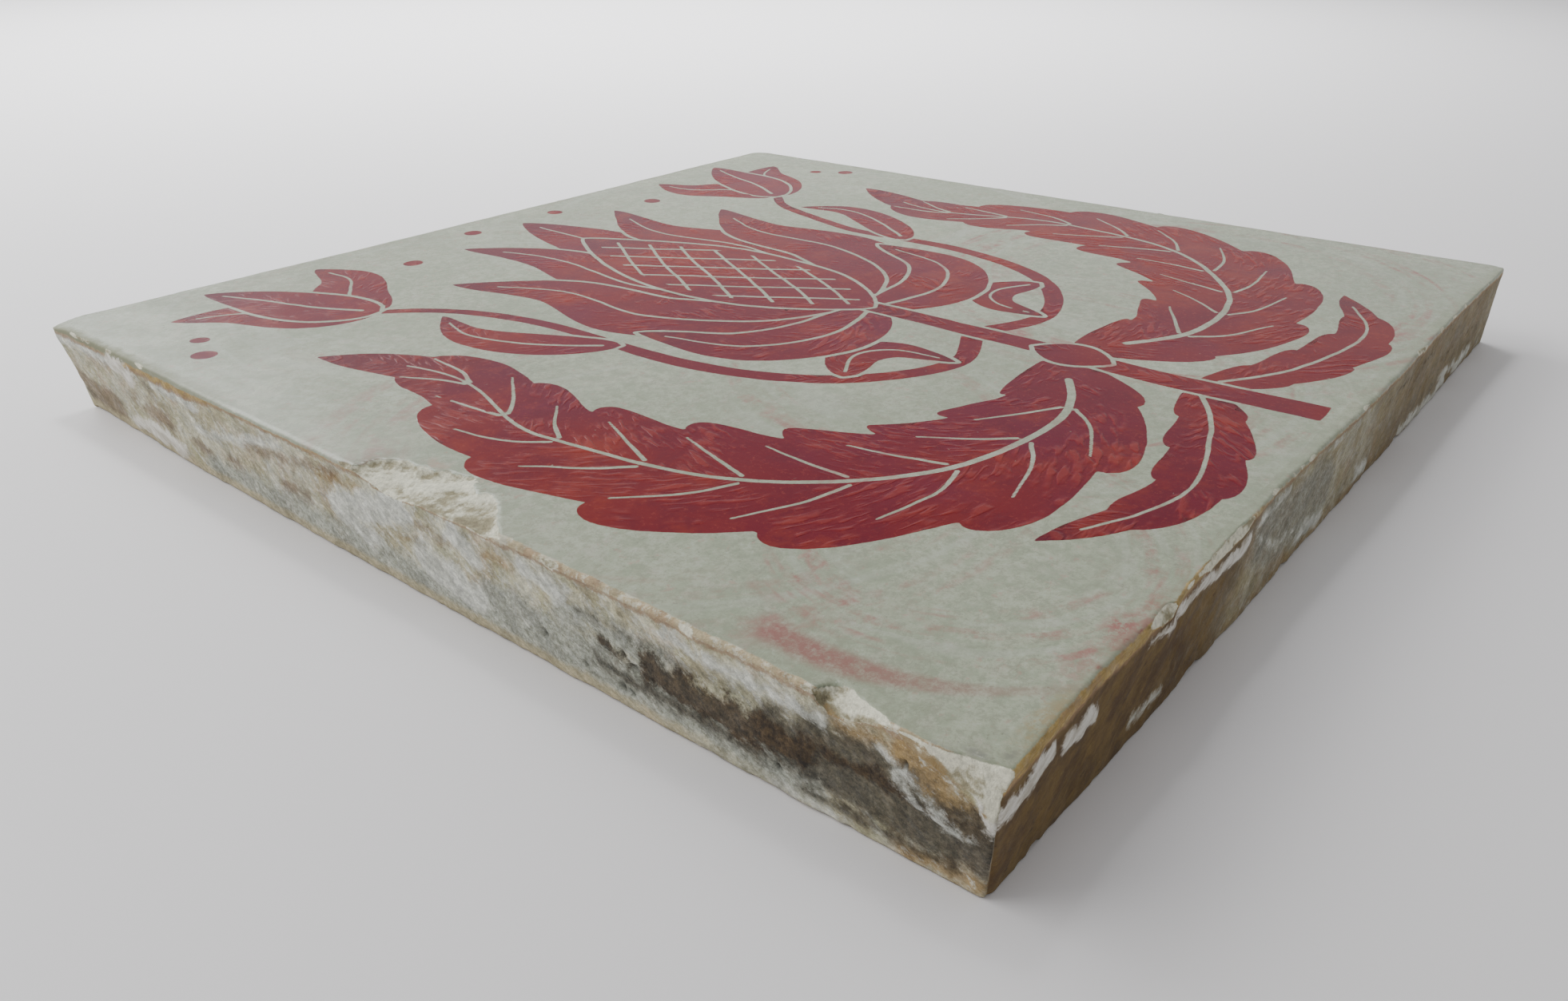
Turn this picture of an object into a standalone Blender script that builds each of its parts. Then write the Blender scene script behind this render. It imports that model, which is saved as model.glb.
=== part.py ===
"""Six-inch lustre wall tile, one slab of fired clay lying on its back with the glazed face up.

Frame, in metres: the origin is at the centre of the underside, +X runs to the right of the
painted design, +Y to its top and +Z out of the glazed face. The four sides are called left,
right, lower and upper, as seen on the glazed face. Each side leans in towards the underside.
"""
import math

import bmesh
import bpy
from mathutils import Matrix, Vector, noise

# Driving sizes of the slab
SIDE = 0.152
THICKNESS = 0.0122

# How far each side of the underside lies inside the glazed face
UNDERCUT_LEFT = 0.0010
UNDERCUT_RIGHT = 0.0003
UNDERCUT_LOWER = 0.0012
UNDERCUT_UPPER = 0.0036

# Worn corners in plan, and the worn edges of the glazed face and the foot
RADIUS_LOWER_LEFT = 0.0010
RADIUS_LOWER_RIGHT = 0.0016
RADIUS_UPPER_RIGHT = 0.0030
RADIUS_UPPER_LEFT = 0.0012
GLAZE_EDGE = 0.0005
FOOT_EDGE = 0.0004
ROUND_STEPS = 3

# Long chip in the left edge of the glaze, its middle measured from the lower left corner
LONG_CHIP_PLACE = 0.0643
LONG_CHIP_LENGTH = 0.0225
LONG_CHIP_REACH = 0.0064
LONG_CHIP_DROP = 0.0013

# Small chip in the same edge, nearer the corner
SMALL_CHIP_PLACE = 0.0131
SMALL_CHIP_LENGTH = 0.0072
SMALL_CHIP_REACH = 0.0034
SMALL_CHIP_DROP = 0.0013

# Flaked stretch of the left edge beside the corner, and of the lower edge, both long and thin
LEFT_FLAKE_PLACE = 0.0110
LEFT_FLAKE_LENGTH = 0.0180
LEFT_FLAKE_REACH = 0.0007
LEFT_FLAKE_DROP = 0.0014
LOWER_FLAKE_PLACE = 0.0370
LOWER_FLAKE_LENGTH = 0.0420
LOWER_FLAKE_REACH = 0.0008
LOWER_FLAKE_DROP = 0.0022

# Broken lower left corner: what is lost along each edge of the glaze and down the corner
CORNER_BREAK_LEFT = 0.0060
CORNER_BREAK_LOWER = 0.0028
CORNER_BREAK_DROP = 0.0066

# Worn upper left corner, a shallow break of the glaze
CORNER_WEAR_LEFT = 0.0060
CORNER_WEAR_UPPER = 0.0042
CORNER_WEAR_DROP = 0.0010

# Two small chips in the foot of the lower side, measured from the lower left corner
FOOT_CHIP_PLACE = 0.0345
FOOT_CHIP_LENGTH = 0.0075
FOOT_CHIP_REACH = 0.0015
FOOT_CHIP_RISE = 0.0014
FOOT_NICK_PLACE = 0.0080
FOOT_NICK_LENGTH = 0.0032
FOOT_NICK_REACH = 0.0008
FOOT_NICK_RISE = 0.0008

# Shell-shaped fractures: how far outside the edge the shell's centre lies, and its roughness
SHELL_FLATNESS = 0.8
SHELL_ROUGHNESS = 0.035
COARSE_SHELL = 3
FINE_SHELL = 4

CLAY_AND_GLAZE = (0.48, 0.50, 0.44, 1.0)
GLAZE_ROUGHNESS = 0.25


def clear_scene():
    for leftover in list(bpy.data.objects):
        bpy.data.objects.remove(leftover, do_unlink=True)


def add_collection(name):
    collection = bpy.data.collections.new(name)
    bpy.context.scene.collection.children.link(collection)
    return collection


def add_object(name, bm, collection):
    mesh = bpy.data.meshes.new(name)
    bm.to_mesh(mesh)
    bm.free()
    thing = bpy.data.objects.new(name, mesh)
    collection.objects.link(thing)
    return thing


def tile_material():
    material = bpy.data.materials.new("glazed_clay")
    material.use_nodes = True
    shader = material.node_tree.nodes["Principled BSDF"]
    shader.inputs["Base Color"].default_value = CLAY_AND_GLAZE
    shader.inputs["Roughness"].default_value = GLAZE_ROUGHNESS
    shader.inputs["Metallic"].default_value = 0.0
    return material


def tapered_block():
    """A block with the glazed face at full size and each foot edge moved in by its undercut."""
    bm = bmesh.new()
    bmesh.ops.create_cube(bm, size=1.0)
    foot = {
        "left": -SIDE / 2 + UNDERCUT_LEFT,
        "right": SIDE / 2 - UNDERCUT_RIGHT,
        "lower": -SIDE / 2 + UNDERCUT_LOWER,
        "upper": SIDE / 2 - UNDERCUT_UPPER,
    }
    for vert in bm.verts:
        is_top = vert.co.z > 0
        x_side = "right" if vert.co.x > 0 else "left"
        y_side = "upper" if vert.co.y > 0 else "lower"
        full = Vector((math.copysign(SIDE / 2, vert.co.x), math.copysign(SIDE / 2, vert.co.y), THICKNESS))
        vert.co = full if is_top else Vector((foot[x_side], foot[y_side], 0.0))
    return bm


def edges_where(bm, test):
    return [edge for edge in bm.edges if all(test(vert.co) for vert in edge.verts)]


def upright_edge(bm, x_sign, y_sign):
    """The edge that runs down one corner of the block."""
    return edges_where(bm, lambda co: co.x * x_sign > 0 and co.y * y_sign > 0)


def round_edges(bm, edges, width):
    bmesh.ops.bevel(
        bm,
        geom=edges,
        offset=width,
        offset_type="OFFSET",
        segments=ROUND_STEPS,
        profile=0.5,
        affect="EDGES",
        clamp_overlap=True,
    )


def build_slab(collection):
    bm = tapered_block()
    corners = [
        (-1, -1, RADIUS_LOWER_LEFT),
        (1, -1, RADIUS_LOWER_RIGHT),
        (1, 1, RADIUS_UPPER_RIGHT),
        (-1, 1, RADIUS_UPPER_LEFT),
    ]
    uprights = [(upright_edge(bm, x_sign, y_sign), radius) for x_sign, y_sign, radius in corners]
    for edges, radius in uprights:
        round_edges(bm, edges, radius)
    level = THICKNESS / 1000
    round_edges(bm, edges_where(bm, lambda co: co.z > THICKNESS - level), GLAZE_EDGE)
    round_edges(bm, edges_where(bm, lambda co: co.z < level), FOOT_EDGE)
    slab = add_object("tile", bm, collection)
    slab.data.materials.append(tile_material())
    slab.data.shade_smooth()
    slab.data.set_sharp_from_angle(angle=math.radians(35))
    return slab


def rough_shell(seed, detail):
    """A unit ball with a fixed, slightly faceted roughness, like the bed of a chip."""
    bm = bmesh.new()
    bmesh.ops.create_icosphere(bm, subdivisions=detail, radius=1.0)
    shift = Vector((seed * 7.3, seed * 3.1, seed * 5.7))
    for vert in bm.verts:
        direction = vert.co.normalized()
        bump = noise.noise(direction * 2.5 + shift) + 0.5 * noise.noise(direction * 6.0 + shift)
        vert.co = direction * (1.0 + SHELL_ROUGHNESS * bump)
    return bm


def corner_axes(x_sign, y_sign):
    """Axes at a corner of the glazed face: X runs up or down the tile, Y into it, Z downwards."""
    spot = Vector((x_sign * SIDE / 2, y_sign * SIDE / 2, THICKNESS))
    axes = Matrix(((0, -y_sign, 0), (-x_sign, 0, 0), (0, 0, -1))).transposed().to_4x4()
    return Matrix.Translation(spot) @ axes


def edge_axes(spot, along, inward, into):
    """Axes of one edge: X runs along it, Y into the tile and Z away from the face it borders."""
    axes = Matrix((along, inward, into)).transposed().to_4x4()
    return Matrix.Translation(spot) @ axes


def left_glaze_edge(place):
    return edge_axes(Vector((-SIDE / 2, -SIDE / 2 + place, THICKNESS)), (0, 1, 0), (1, 0, 0), (0, 0, -1))


def lower_glaze_edge(place):
    return edge_axes(Vector((-SIDE / 2 + place, -SIDE / 2, THICKNESS)), (1, 0, 0), (0, 1, 0), (0, 0, -1))


def lower_foot_edge(place):
    foot_y = -SIDE / 2 + UNDERCUT_LOWER
    return edge_axes(Vector((-SIDE / 2 + place, foot_y, 0.0)), (1, 0, 0), (0, 1, 0), (0, 0, 1))


def placed_shell(name, seed, detail, axes, half_sizes, centre, collection):
    bm = rough_shell(seed, detail)
    scale = Matrix.Diagonal((*half_sizes, 1.0))
    bmesh.ops.transform(bm, matrix=axes @ Matrix.Translation(centre) @ scale, verts=bm.verts)
    bmesh.ops.recalc_face_normals(bm, faces=bm.faces)
    return add_object(name, bm, collection)


def edge_shell(name, seed, detail, axes, length, reach, depth, collection):
    """A shell that bites an edge over its length, by reach into one face and by depth down the other.

    Across the edge it is a circle in units of reach and depth, with its centre outside.
    """
    radius = math.hypot(1 + SHELL_FLATNESS, SHELL_FLATNESS)
    unit_length = length / 2 / math.sqrt(1 + 2 * SHELL_FLATNESS)
    half_sizes = (unit_length * radius, reach * radius, depth * radius)
    centre = (0.0, -SHELL_FLATNESS * reach, -SHELL_FLATNESS * depth)
    return placed_shell(name, seed, detail, axes, half_sizes, centre, collection)


def corner_shell(name, seed, detail, axes, losses, collection):
    """A shell that bites a corner, by one length along each of its three edges."""
    radius = math.sqrt((1 + SHELL_FLATNESS) ** 2 + 2 * SHELL_FLATNESS ** 2)
    half_sizes = [loss * radius for loss in losses]
    centre = [-SHELL_FLATNESS * loss for loss in losses]
    return placed_shell(name, seed, detail, axes, half_sizes, centre, collection)


def long_chip(collection):
    sizes = (LONG_CHIP_LENGTH, LONG_CHIP_REACH, LONG_CHIP_DROP)
    return edge_shell("long_chip", 1, FINE_SHELL, left_glaze_edge(LONG_CHIP_PLACE), *sizes, collection)


def small_chip(collection):
    sizes = (SMALL_CHIP_LENGTH, SMALL_CHIP_REACH, SMALL_CHIP_DROP)
    return edge_shell("small_chip", 2, COARSE_SHELL, left_glaze_edge(SMALL_CHIP_PLACE), *sizes, collection)


def left_flake(collection):
    sizes = (LEFT_FLAKE_LENGTH, LEFT_FLAKE_REACH, LEFT_FLAKE_DROP)
    return edge_shell("left_flake", 3, COARSE_SHELL, left_glaze_edge(LEFT_FLAKE_PLACE), *sizes, collection)


def lower_flake(collection):
    sizes = (LOWER_FLAKE_LENGTH, LOWER_FLAKE_REACH, LOWER_FLAKE_DROP)
    return edge_shell("lower_flake", 4, FINE_SHELL, lower_glaze_edge(LOWER_FLAKE_PLACE), *sizes, collection)


def foot_chip(collection):
    sizes = (FOOT_CHIP_LENGTH, FOOT_CHIP_REACH, FOOT_CHIP_RISE)
    return edge_shell("foot_chip", 5, COARSE_SHELL, lower_foot_edge(FOOT_CHIP_PLACE), *sizes, collection)


def foot_nick(collection):
    sizes = (FOOT_NICK_LENGTH, FOOT_NICK_REACH, FOOT_NICK_RISE)
    return edge_shell("foot_nick", 6, COARSE_SHELL, lower_foot_edge(FOOT_NICK_PLACE), *sizes, collection)


def corner_break(collection):
    losses = (CORNER_BREAK_LEFT, CORNER_BREAK_LOWER, CORNER_BREAK_DROP)
    return corner_shell("corner_break", 7, FINE_SHELL, corner_axes(-1, -1), losses, collection)


def corner_wear(collection):
    losses = (CORNER_WEAR_LEFT, CORNER_WEAR_UPPER, CORNER_WEAR_DROP)
    return corner_shell("corner_wear", 8, COARSE_SHELL, corner_axes(-1, 1), losses, collection)


def cut(slab, shells):
    for shell in shells:
        shell.hide_render = True
        shell.display_type = "WIRE"
        chip = slab.modifiers.new(shell.name, "BOOLEAN")
        chip.operation = "DIFFERENCE"
        chip.solver = "EXACT"
        chip.object = shell


def build():
    clear_scene()
    parts = add_collection("lustre_tile")
    cutters = add_collection("cutters")
    losses = [
        long_chip,
        small_chip,
        left_flake,
        lower_flake,
        foot_chip,
        foot_nick,
        corner_break,
        corner_wear,
    ]
    cut(build_slab(parts), [loss(cutters) for loss in losses])


build()
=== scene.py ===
"""Looks of the lustre wall tile: worn glaze, painted ruby lustre, chips and old mortar on the sides.

Lengths here are in millimetres in the tile's frame, until the mesh is made in metres.
Places on a side are given as (distance from its first corner, height above the underside):
the left and lower sides start at the broken lower left corner, the right side at the lower
right corner and the upper side at the upper left corner.
"""
import math

import bpy
import numpy as np
from mathutils import Matrix, Vector
from mathutils.geometry import delaunay_2d_cdt


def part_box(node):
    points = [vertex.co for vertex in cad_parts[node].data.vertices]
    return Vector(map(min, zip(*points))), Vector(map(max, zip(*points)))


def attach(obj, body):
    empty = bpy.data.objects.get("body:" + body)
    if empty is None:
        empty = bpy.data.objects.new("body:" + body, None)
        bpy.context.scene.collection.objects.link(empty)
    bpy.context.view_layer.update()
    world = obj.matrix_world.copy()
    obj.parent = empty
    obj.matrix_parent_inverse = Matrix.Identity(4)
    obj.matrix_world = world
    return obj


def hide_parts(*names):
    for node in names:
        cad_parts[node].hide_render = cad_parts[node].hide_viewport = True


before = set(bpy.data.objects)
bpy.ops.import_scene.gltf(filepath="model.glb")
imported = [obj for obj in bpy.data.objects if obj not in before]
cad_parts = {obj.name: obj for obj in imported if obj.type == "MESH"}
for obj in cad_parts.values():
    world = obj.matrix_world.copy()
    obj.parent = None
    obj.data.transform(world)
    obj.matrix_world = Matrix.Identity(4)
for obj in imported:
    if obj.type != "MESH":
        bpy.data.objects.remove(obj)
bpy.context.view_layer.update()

MM = 0.001
LOW, HIGH = (np.array(corner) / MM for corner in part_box("tile"))
TOP = HIGH[2]
LENGTH = HIGH[0] - LOW[0]

# Undercut of each side, as on the solid, and the worn corners in plan
UNDERCUT = {"lower": 1.2, "right": 0.3, "upper": 3.6, "left": 1.0}
CORNER_RADIUS = {"lower_left": 1.0, "lower_right": 1.6, "upper_right": 3.0, "upper_left": 0.9}

# Grid of the border, the sides and the foot
SEEN_COLUMNS = 310
HIDDEN_COLUMNS = 130
ARC_COLUMNS = 6
BORDER = 2.4
BORDER_ROWS = 6
EDGE_ROWS = 4
SIDE_ROWS = 25
FOOT_ROWS = 3
UNDER_ROWS = 4
FOOT_EDGE = 0.45
UNDER_BORDER = 6.0

# Grid of the face: square cells, split where the painting needs it, and the error that is let pass
COARSE_STEP = 2.0
CELL_ERRORS = (0.10, 0.06, 0.05)
CHIP_STEP = 0.30
UNDERSIDE_STEP = 3.5
UNDERSIDE_REACH = 63.0
UNDERSIDE_WAVES = 0.07

# Distance beyond which the edge of a painted shape no longer matters
FAR = 3.0


def smoothstep(low, high, value):
    t = np.clip((value - low) / (high - low), 0.0, 1.0)
    return t * t * (3.0 - 2.0 * t)


def unit(vectors):
    return vectors / np.maximum(np.linalg.norm(vectors, axis=-1, keepdims=True), 1e-9)


def smooth_noise(points, grain, seed):
    """Smooth noise from -1 to 1, with bumps about one grain across."""
    size = 32
    table = np.random.default_rng(seed).uniform(-1.0, 1.0, (size, size, size))
    place = points / grain
    cell = np.floor(place).astype(int)
    part = place - cell
    part = part * part * (3.0 - 2.0 * part)
    total = np.zeros(len(points))
    for corner in np.ndindex(2, 2, 2):
        weight = np.prod(np.where(corner, part, 1.0 - part), axis=1)
        index = (cell + corner) % size
        total += weight * table[index[:, 0], index[:, 1], index[:, 2]]
    return total


def rough_noise(points, grain, seed, octaves=4):
    total = sum(smooth_noise(points, grain / 2 ** k, seed + k) / 2 ** k for k in range(octaves))
    return total / 1.6


def flat_points(xy):
    return np.column_stack([xy, np.zeros(len(xy))])


def smooth_path(points, step=0.8):
    """An evenly stepped Catmull-Rom curve through a few points."""
    points = np.array(points, float)
    ends = np.vstack([2 * points[0] - points[1], points, 2 * points[-1] - points[-2]])
    curve = []
    for p0, p1, p2, p3 in zip(ends, ends[1:], ends[2:], ends[3:]):
        count = max(2, int(np.linalg.norm(p2 - p1) / step))
        t = np.linspace(0.0, 1.0, count, endpoint=False)[:, None]
        curve.append(0.5 * (2 * p1 + (p2 - p0) * t + (2 * p0 - 5 * p1 + 4 * p2 - p3) * t ** 2
                            + (3 * p1 - p0 - 3 * p2 + p3) * t ** 3))
    return np.vstack(curve + [points[-1:]])


def path_lengths(path):
    return np.concatenate([[0.0], np.cumsum(np.linalg.norm(np.diff(path, axis=0), axis=1))])


def path_frame(path):
    """Share of the length and left-hand normal at each point of a path."""
    tangent = unit(np.gradient(path, axis=0))
    normal = np.column_stack([-tangent[:, 1], tangent[:, 0]])
    length = path_lengths(path)
    return length / length[-1], tangent, normal


def segment_places(points, path):
    """Share along, and square of the distance to, every segment of a path for every point."""
    start, step = path[:-1], np.diff(path, axis=0)
    square = np.maximum((step ** 2).sum(1), 1e-12)
    dx = points[:, :1] - start[:, 0]
    dy = points[:, 1:] - start[:, 1]
    t = np.clip((dx * step[:, 0] + dy * step[:, 1]) / square, 0.0, 1.0)
    dx = dx - t * step[:, 0]
    dy = dy - t * step[:, 1]
    return t, dx * dx + dy * dy


def near(points, path, margin):
    x, y = points.T
    (left, low), (right, high) = path.min(0) - margin, path.max(0) + margin
    return np.flatnonzero((x > left) & (x < right) & (y > low) & (y < high))


def path_gap(points, path, widths=0.0, margin=FAR):
    """Distance to a path less its half-width there, no more than the margin."""
    gap = np.full(len(points), margin)
    widths = np.broadcast_to(np.asarray(widths, float), len(path))
    around = near(points, path, margin)
    for first in range(0, len(path) - 1, 12):
        piece, wide = path[first:first + 13], widths[first:first + 13]
        close = around[near(points[around], piece, margin)]
        if len(close):
            t, square = segment_places(points[close], piece)
            found = (np.sqrt(square) - wide[:-1] - t * np.diff(wide)).min(1)
            gap[close] = np.minimum(gap[close], found)
    return gap


def spine_places(points, spine):
    """Arc length of the nearest place on a spine, and the distance to it."""
    spine = spine[::3] if len(spine) > 12 else spine
    t, square = segment_places(points, spine)
    best = square.argmin(1)
    row = np.arange(len(best))
    lengths = path_lengths(spine)
    arc = lengths[best] + t[row, best] * np.diff(lengths)[best]
    return arc / lengths[-1], arc, np.sqrt(square[row, best])


def within(points, polygon):
    """True for points inside a closed outline."""
    odd = np.zeros(len(points), bool)
    x, y = points.T
    for (x0, y0), (x1, y1) in zip(polygon, np.roll(polygon, -1, axis=0)):
        if y0 != y1:
            odd ^= ((y0 > y) != (y1 > y)) & (x < x0 + (y - y0) * (x1 - x0) / (y1 - y0))
    return odd


def outline_distance(points, polygon):
    """Distance to a closed outline, positive inside it, between -FAR and FAR."""
    gap = path_gap(points, np.vstack([polygon, polygon[:1]]))
    inside = near(points, polygon, 0.0)
    inside = inside[within(points[inside], polygon)]
    signed = -gap
    signed[inside] = gap[inside]
    return signed


# The painted design: a fruiting plant with lobed leaves, mirrored about its stem

PAINT_GAP = 0.62
SHAPE_STEP = 0.8


class Shape:
    """One painted form: its outline, its spine, and the fine lines left bare in it."""

    def __init__(self, outline, spine, lines=(), gap=PAINT_GAP, lattice=0.0):
        self.outline = outline
        self.spine = spine
        self.lines = lines
        self.gap = gap
        self.lattice = lattice


def leaf_outline(spine, half_width, lobes=0, bite=0.0, fullness=0.7, blunt=0.75):
    """A leaf or petal along its spine, with rounded lobes that lean to the tip."""
    share, tangent, normal = path_frame(spine)
    width = half_width * np.sin(np.pi * share ** fullness) ** blunt
    lean = np.zeros(len(share))
    if lobes:
        swell = np.sin(np.pi * ((share * lobes) % 1.0) ** 1.7) ** 0.7
        lean = 0.18 * width * swell
        width = width * (1.0 - bite + bite * swell)
    left = spine + normal * width[:, None] + tangent * lean[:, None]
    right = spine - normal * width[:, None] + tangent * lean[:, None]
    return np.vstack([left, right[::-1]])


def bare_line(path, first, last):
    """A line left bare in the paint, with its half-widths at its two ends."""
    share = path_lengths(path) / path_lengths(path)[-1]
    return path, first + (last - first) * share


def leaf_veins(spine, half_width, count):
    """Short curved veins that leave the midrib on both sides and bend to the tip."""
    share, _, normal = path_frame(spine)
    veins = []
    for k in range(count):
        base = 0.13 + 0.68 * k / (count - 1)
        reach = half_width * math.sin(math.pi * (base + 0.06) ** 0.7) ** 0.75
        for side in (-1, 1):
            path = []
            for place, out in ((base, 0.07), (base + 0.03, 0.32), (base + 0.075, 0.62)):
                i = min(np.searchsorted(share, place), len(spine) - 1)
                path.append(spine[i] + side * normal[i] * reach * out)
            veins.append(bare_line(smooth_path(path), 0.26, 0.14))
    return veins


def leaf(path, half_width, lobes=0, bite=0.0, veins=0, rib=(0.06, 0.9), rib_width=0.4, **form):
    spine = smooth_path(path, SHAPE_STEP / 2 if lobes else SHAPE_STEP)
    share, _, _ = path_frame(spine)
    lines = []
    if rib:
        lines.append(bare_line(spine[(share >= rib[0]) & (share <= rib[1])], rib_width, 0.16))
    if veins:
        lines += leaf_veins(spine, half_width, veins)
    return Shape(leaf_outline(spine, half_width, lobes, bite, **form), spine, lines)


def stem(path, first, last):
    spine = smooth_path(path)
    share, _, normal = path_frame(spine)
    width = (first + (last - first) * share)[:, None]
    return Shape(np.vstack([spine + normal * width, (spine - normal * width)[::-1]]), spine)


def dot(x, y, radius):
    turn = np.linspace(0.0, 2 * math.pi, 20, endpoint=False)
    outline = np.column_stack([x + radius * np.cos(turn), y + radius * np.sin(turn)])
    return Shape(outline, np.array([(x - radius, y), (x + radius, y)]))


def mirrored(shape):
    flip = np.array([-1.0, 1.0])
    lines = [(path * flip, widths) for path, widths in shape.lines]
    return Shape(shape.outline[::-1] * flip, shape.spine * flip, lines, shape.gap, shape.lattice)


def both(*shapes):
    return [copy for shape in shapes for copy in (shape, mirrored(shape))]


def plant():
    """All painted shapes, from the back to the front."""
    side_stem = stem([(0, -27), (12, -31), (26, -22), (33, -4), (33, 18), (38, 36), (45, 45)], 1.5, 0.9)
    big_leaf = leaf(
        [(1.5, -41), (18, -50), (38, -47), (53, -32), (58.5, -8), (53, 14), (60, 34)],
        13.5, lobes=9, bite=0.22, veins=9, rib_width=0.5,
    )
    low_leaf = leaf([(0, -58), (13, -65), (30, -68), (46, -61)], 4.8, lobes=5, bite=0.2, rib_width=0.3)
    tendril_leaf = leaf([(33, 6), (40, 16), (43, 26), (40, 35)], 3.9, rib_width=0.28)
    inner_leaf = leaf([(24, -23), (17, -20), (12, -23), (11, -31)], 3.2, rib_width=0.22)
    bud_back = leaf([(44, 44), (51, 50), (57, 58), (65, 62)], 5.6, rib_width=0.28)
    bud_side = leaf([(44, 44), (43, 53), (38, 61), (38, 70)], 5.6, rib_width=0.28)
    bud_front = leaf([(44, 44), (49, 53), (52, 62), (56, 71)], 5.8, rib_width=0.32)
    crown_petal = leaf([(0, -8), (8, 6), (13, 24), (11, 44), (17, 61)], 8.0, rib_width=0.36)
    tall_petal = leaf([(0, -9), (13, -3), (22, 12), (22, 30), (30, 46)], 8.2, rib_width=0.36)
    low_petal = leaf([(0, -10), (13, -13), (24, -6), (28, 8)], 6.2, rib_width=0.36)
    main_stem = stem([(0.3, -72), (-0.5, -50), (0.4, -30), (0, -8)], 2.3, 1.7)
    knot = leaf([(0, -47), (0, -36)], 3.8, rib=None, fullness=1.0, blunt=0.8)
    top_petal = leaf([(0, 20), (0, 44), (0, 67)], 7.2, rib_width=0.36, fullness=0.9)
    pod_spine = smooth_path([(0, -10), (0, 20), (0, 50)])
    pod = Shape(leaf_outline(pod_spine, 12.0, fullness=0.85, blunt=0.85), pod_spine, lattice=5.6)
    berries = [dot(9.5, 68.5, 1.5), dot(27, 60.5, 1.6), dot(69, 46, 1.6), dot(66, 51.5, 1.2)]
    shapes = both(side_stem, low_leaf, big_leaf, tendril_leaf, inner_leaf)
    shapes += both(bud_back, bud_side, bud_front)
    shapes += [top_petal] + both(crown_petal, tall_petal, low_petal)
    return shapes + [main_stem, knot, pod] + both(*berries)


def lattice_distance(points, step):
    """Distance to the nearest line of a lattice of lozenges."""
    x, y = points.T
    lean = 0.62
    rising = np.abs((x + lean * y) % step - step / 2)
    falling = np.abs((x - lean * y) % step - step / 2)
    return np.minimum(rising, falling) / math.hypot(1.0, lean)


def hand_drawn(points):
    """Places moved a little, so that no line is ruled."""
    points = flat_points(points)
    slow = np.column_stack([smooth_noise(points, 14.0, seed) for seed in (3, 4)])
    quick = np.column_stack([smooth_noise(points, 2.4, seed) for seed in (5, 6)])
    return points[:, :2] + 0.6 * slow + 0.08 * quick


def painted(points, shapes):
    """Distance to the edge of the paint, positive in the paint, between -FAR and FAR."""
    drawn = hand_drawn(points)
    paint = np.full(len(points), -FAR)
    for shape in shapes:
        close = near(drawn, shape.outline, FAR)
        spots = drawn[close]
        inside = outline_distance(spots, shape.outline)
        here = np.maximum(np.minimum(paint[close], -inside - shape.gap), inside)
        if shape.lattice:
            bare = np.minimum(0.24 - lattice_distance(spots, shape.lattice), inside - 2.0)
            here = np.minimum(here, -bare)
        for path, widths in shape.lines:
            here = np.minimum(here, path_gap(spots, path, widths))
        paint[close] = here
    return paint


def brush_flow(points, shapes, paint):
    """Places along and across the brush strokes of each shape, and the darkness of its tip."""
    drawn = hand_drawn(points)
    flow = np.zeros((len(points), 3))
    slant = math.radians(32)
    for number, shape in enumerate(shapes):
        close = near(drawn, shape.outline, 1.5)
        inside = outline_distance(drawn[close], shape.outline)
        chosen = (inside > -shape.gap / 2) | ((inside > -1.5) & (paint[close] < -0.1))
        close = close[chosen]
        share, arc, offset = spine_places(drawn[close], shape.spine)
        flow[close, 0] = arc * math.cos(slant) + offset * math.sin(slant) + 40.0 * number
        flow[close, 1] = offset * math.cos(slant) - arc * math.sin(slant)
        flow[close, 2] = smoothstep(0.70, 1.0, share)
    return flow


# Outline of the tile: loops of columns that match from the face down to the underside

SIDES = ("lower", "right", "upper", "left")
CORNERS = ("lower_right", "upper_right", "upper_left", "lower_left")
AHEAD = {"lower": (1.0, 0.0), "right": (0.0, 1.0), "upper": (-1.0, 0.0), "left": (0.0, -1.0)}
SIDE_COLUMNS = {
    "lower": SEEN_COLUMNS, "right": HIDDEN_COLUMNS, "upper": HIDDEN_COLUMNS, "left": SEEN_COLUMNS,
}
# Stretches where the columns stand closer: (distance from the first corner, closeness)
COLUMN_DENSITY = {
    "lower": [(0, 2.0), (16, 1.6), (45, 1.2), (60, 0.8), (152, 0.8)],
    "right": [(0, 1.0), (152, 1.0)],
    "upper": [(0, 1.0), (152, 1.0)],
    "left": [(0, 2.0), (20, 1.6), (30, 1.0), (50, 1.0), (54, 1.7), (77, 1.7), (82, 0.8), (152, 0.7)],
}


def by_place(table, along):
    """Values read off a short table of (distance from the first corner, value)."""
    places, values = zip(*sorted(table))
    return np.interp(along, places, values)


def column_shares(side):
    """Shares along a side, in the order of the loop."""
    share = np.linspace(0.0, 1.0, 500)
    along = share if side in ("lower", "right") else 1.0 - share
    total = np.cumsum(by_place(COLUMN_DENSITY[side], along * LENGTH))
    total = (total - total[0]) / (total[-1] - total[0])
    return np.interp(np.linspace(0.0, 1.0, SIDE_COLUMNS[side], endpoint=False), total, share)


def column_loop(box, radii):
    """Points anticlockwise from the end of the lower left corner, the same count for every box."""
    left, right, lower, upper = box
    corner = {
        "lower_right": np.array([right, lower]),
        "upper_right": np.array([right, upper]),
        "upper_left": np.array([left, upper]),
        "lower_left": np.array([left, lower]),
    }
    loop = []
    before = "lower_left"
    for side, after in zip(SIDES, CORNERS):
        ahead = np.array(AHEAD[side])
        first = corner[before] + ahead * radii[before]
        last = corner[after] - ahead * radii[after]
        loop.append(first + (last - first) * column_shares(side)[:, None])
        inward = np.array([-ahead[1], ahead[0]])
        centre = last + inward * radii[after]
        turn = np.linspace(0.0, math.pi / 2, ARC_COLUMNS, endpoint=False)[:, None]
        loop.append(centre + radii[after] * (ahead * np.sin(turn) - inward * np.cos(turn)))
        before = after
    return np.vstack(loop)


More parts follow.
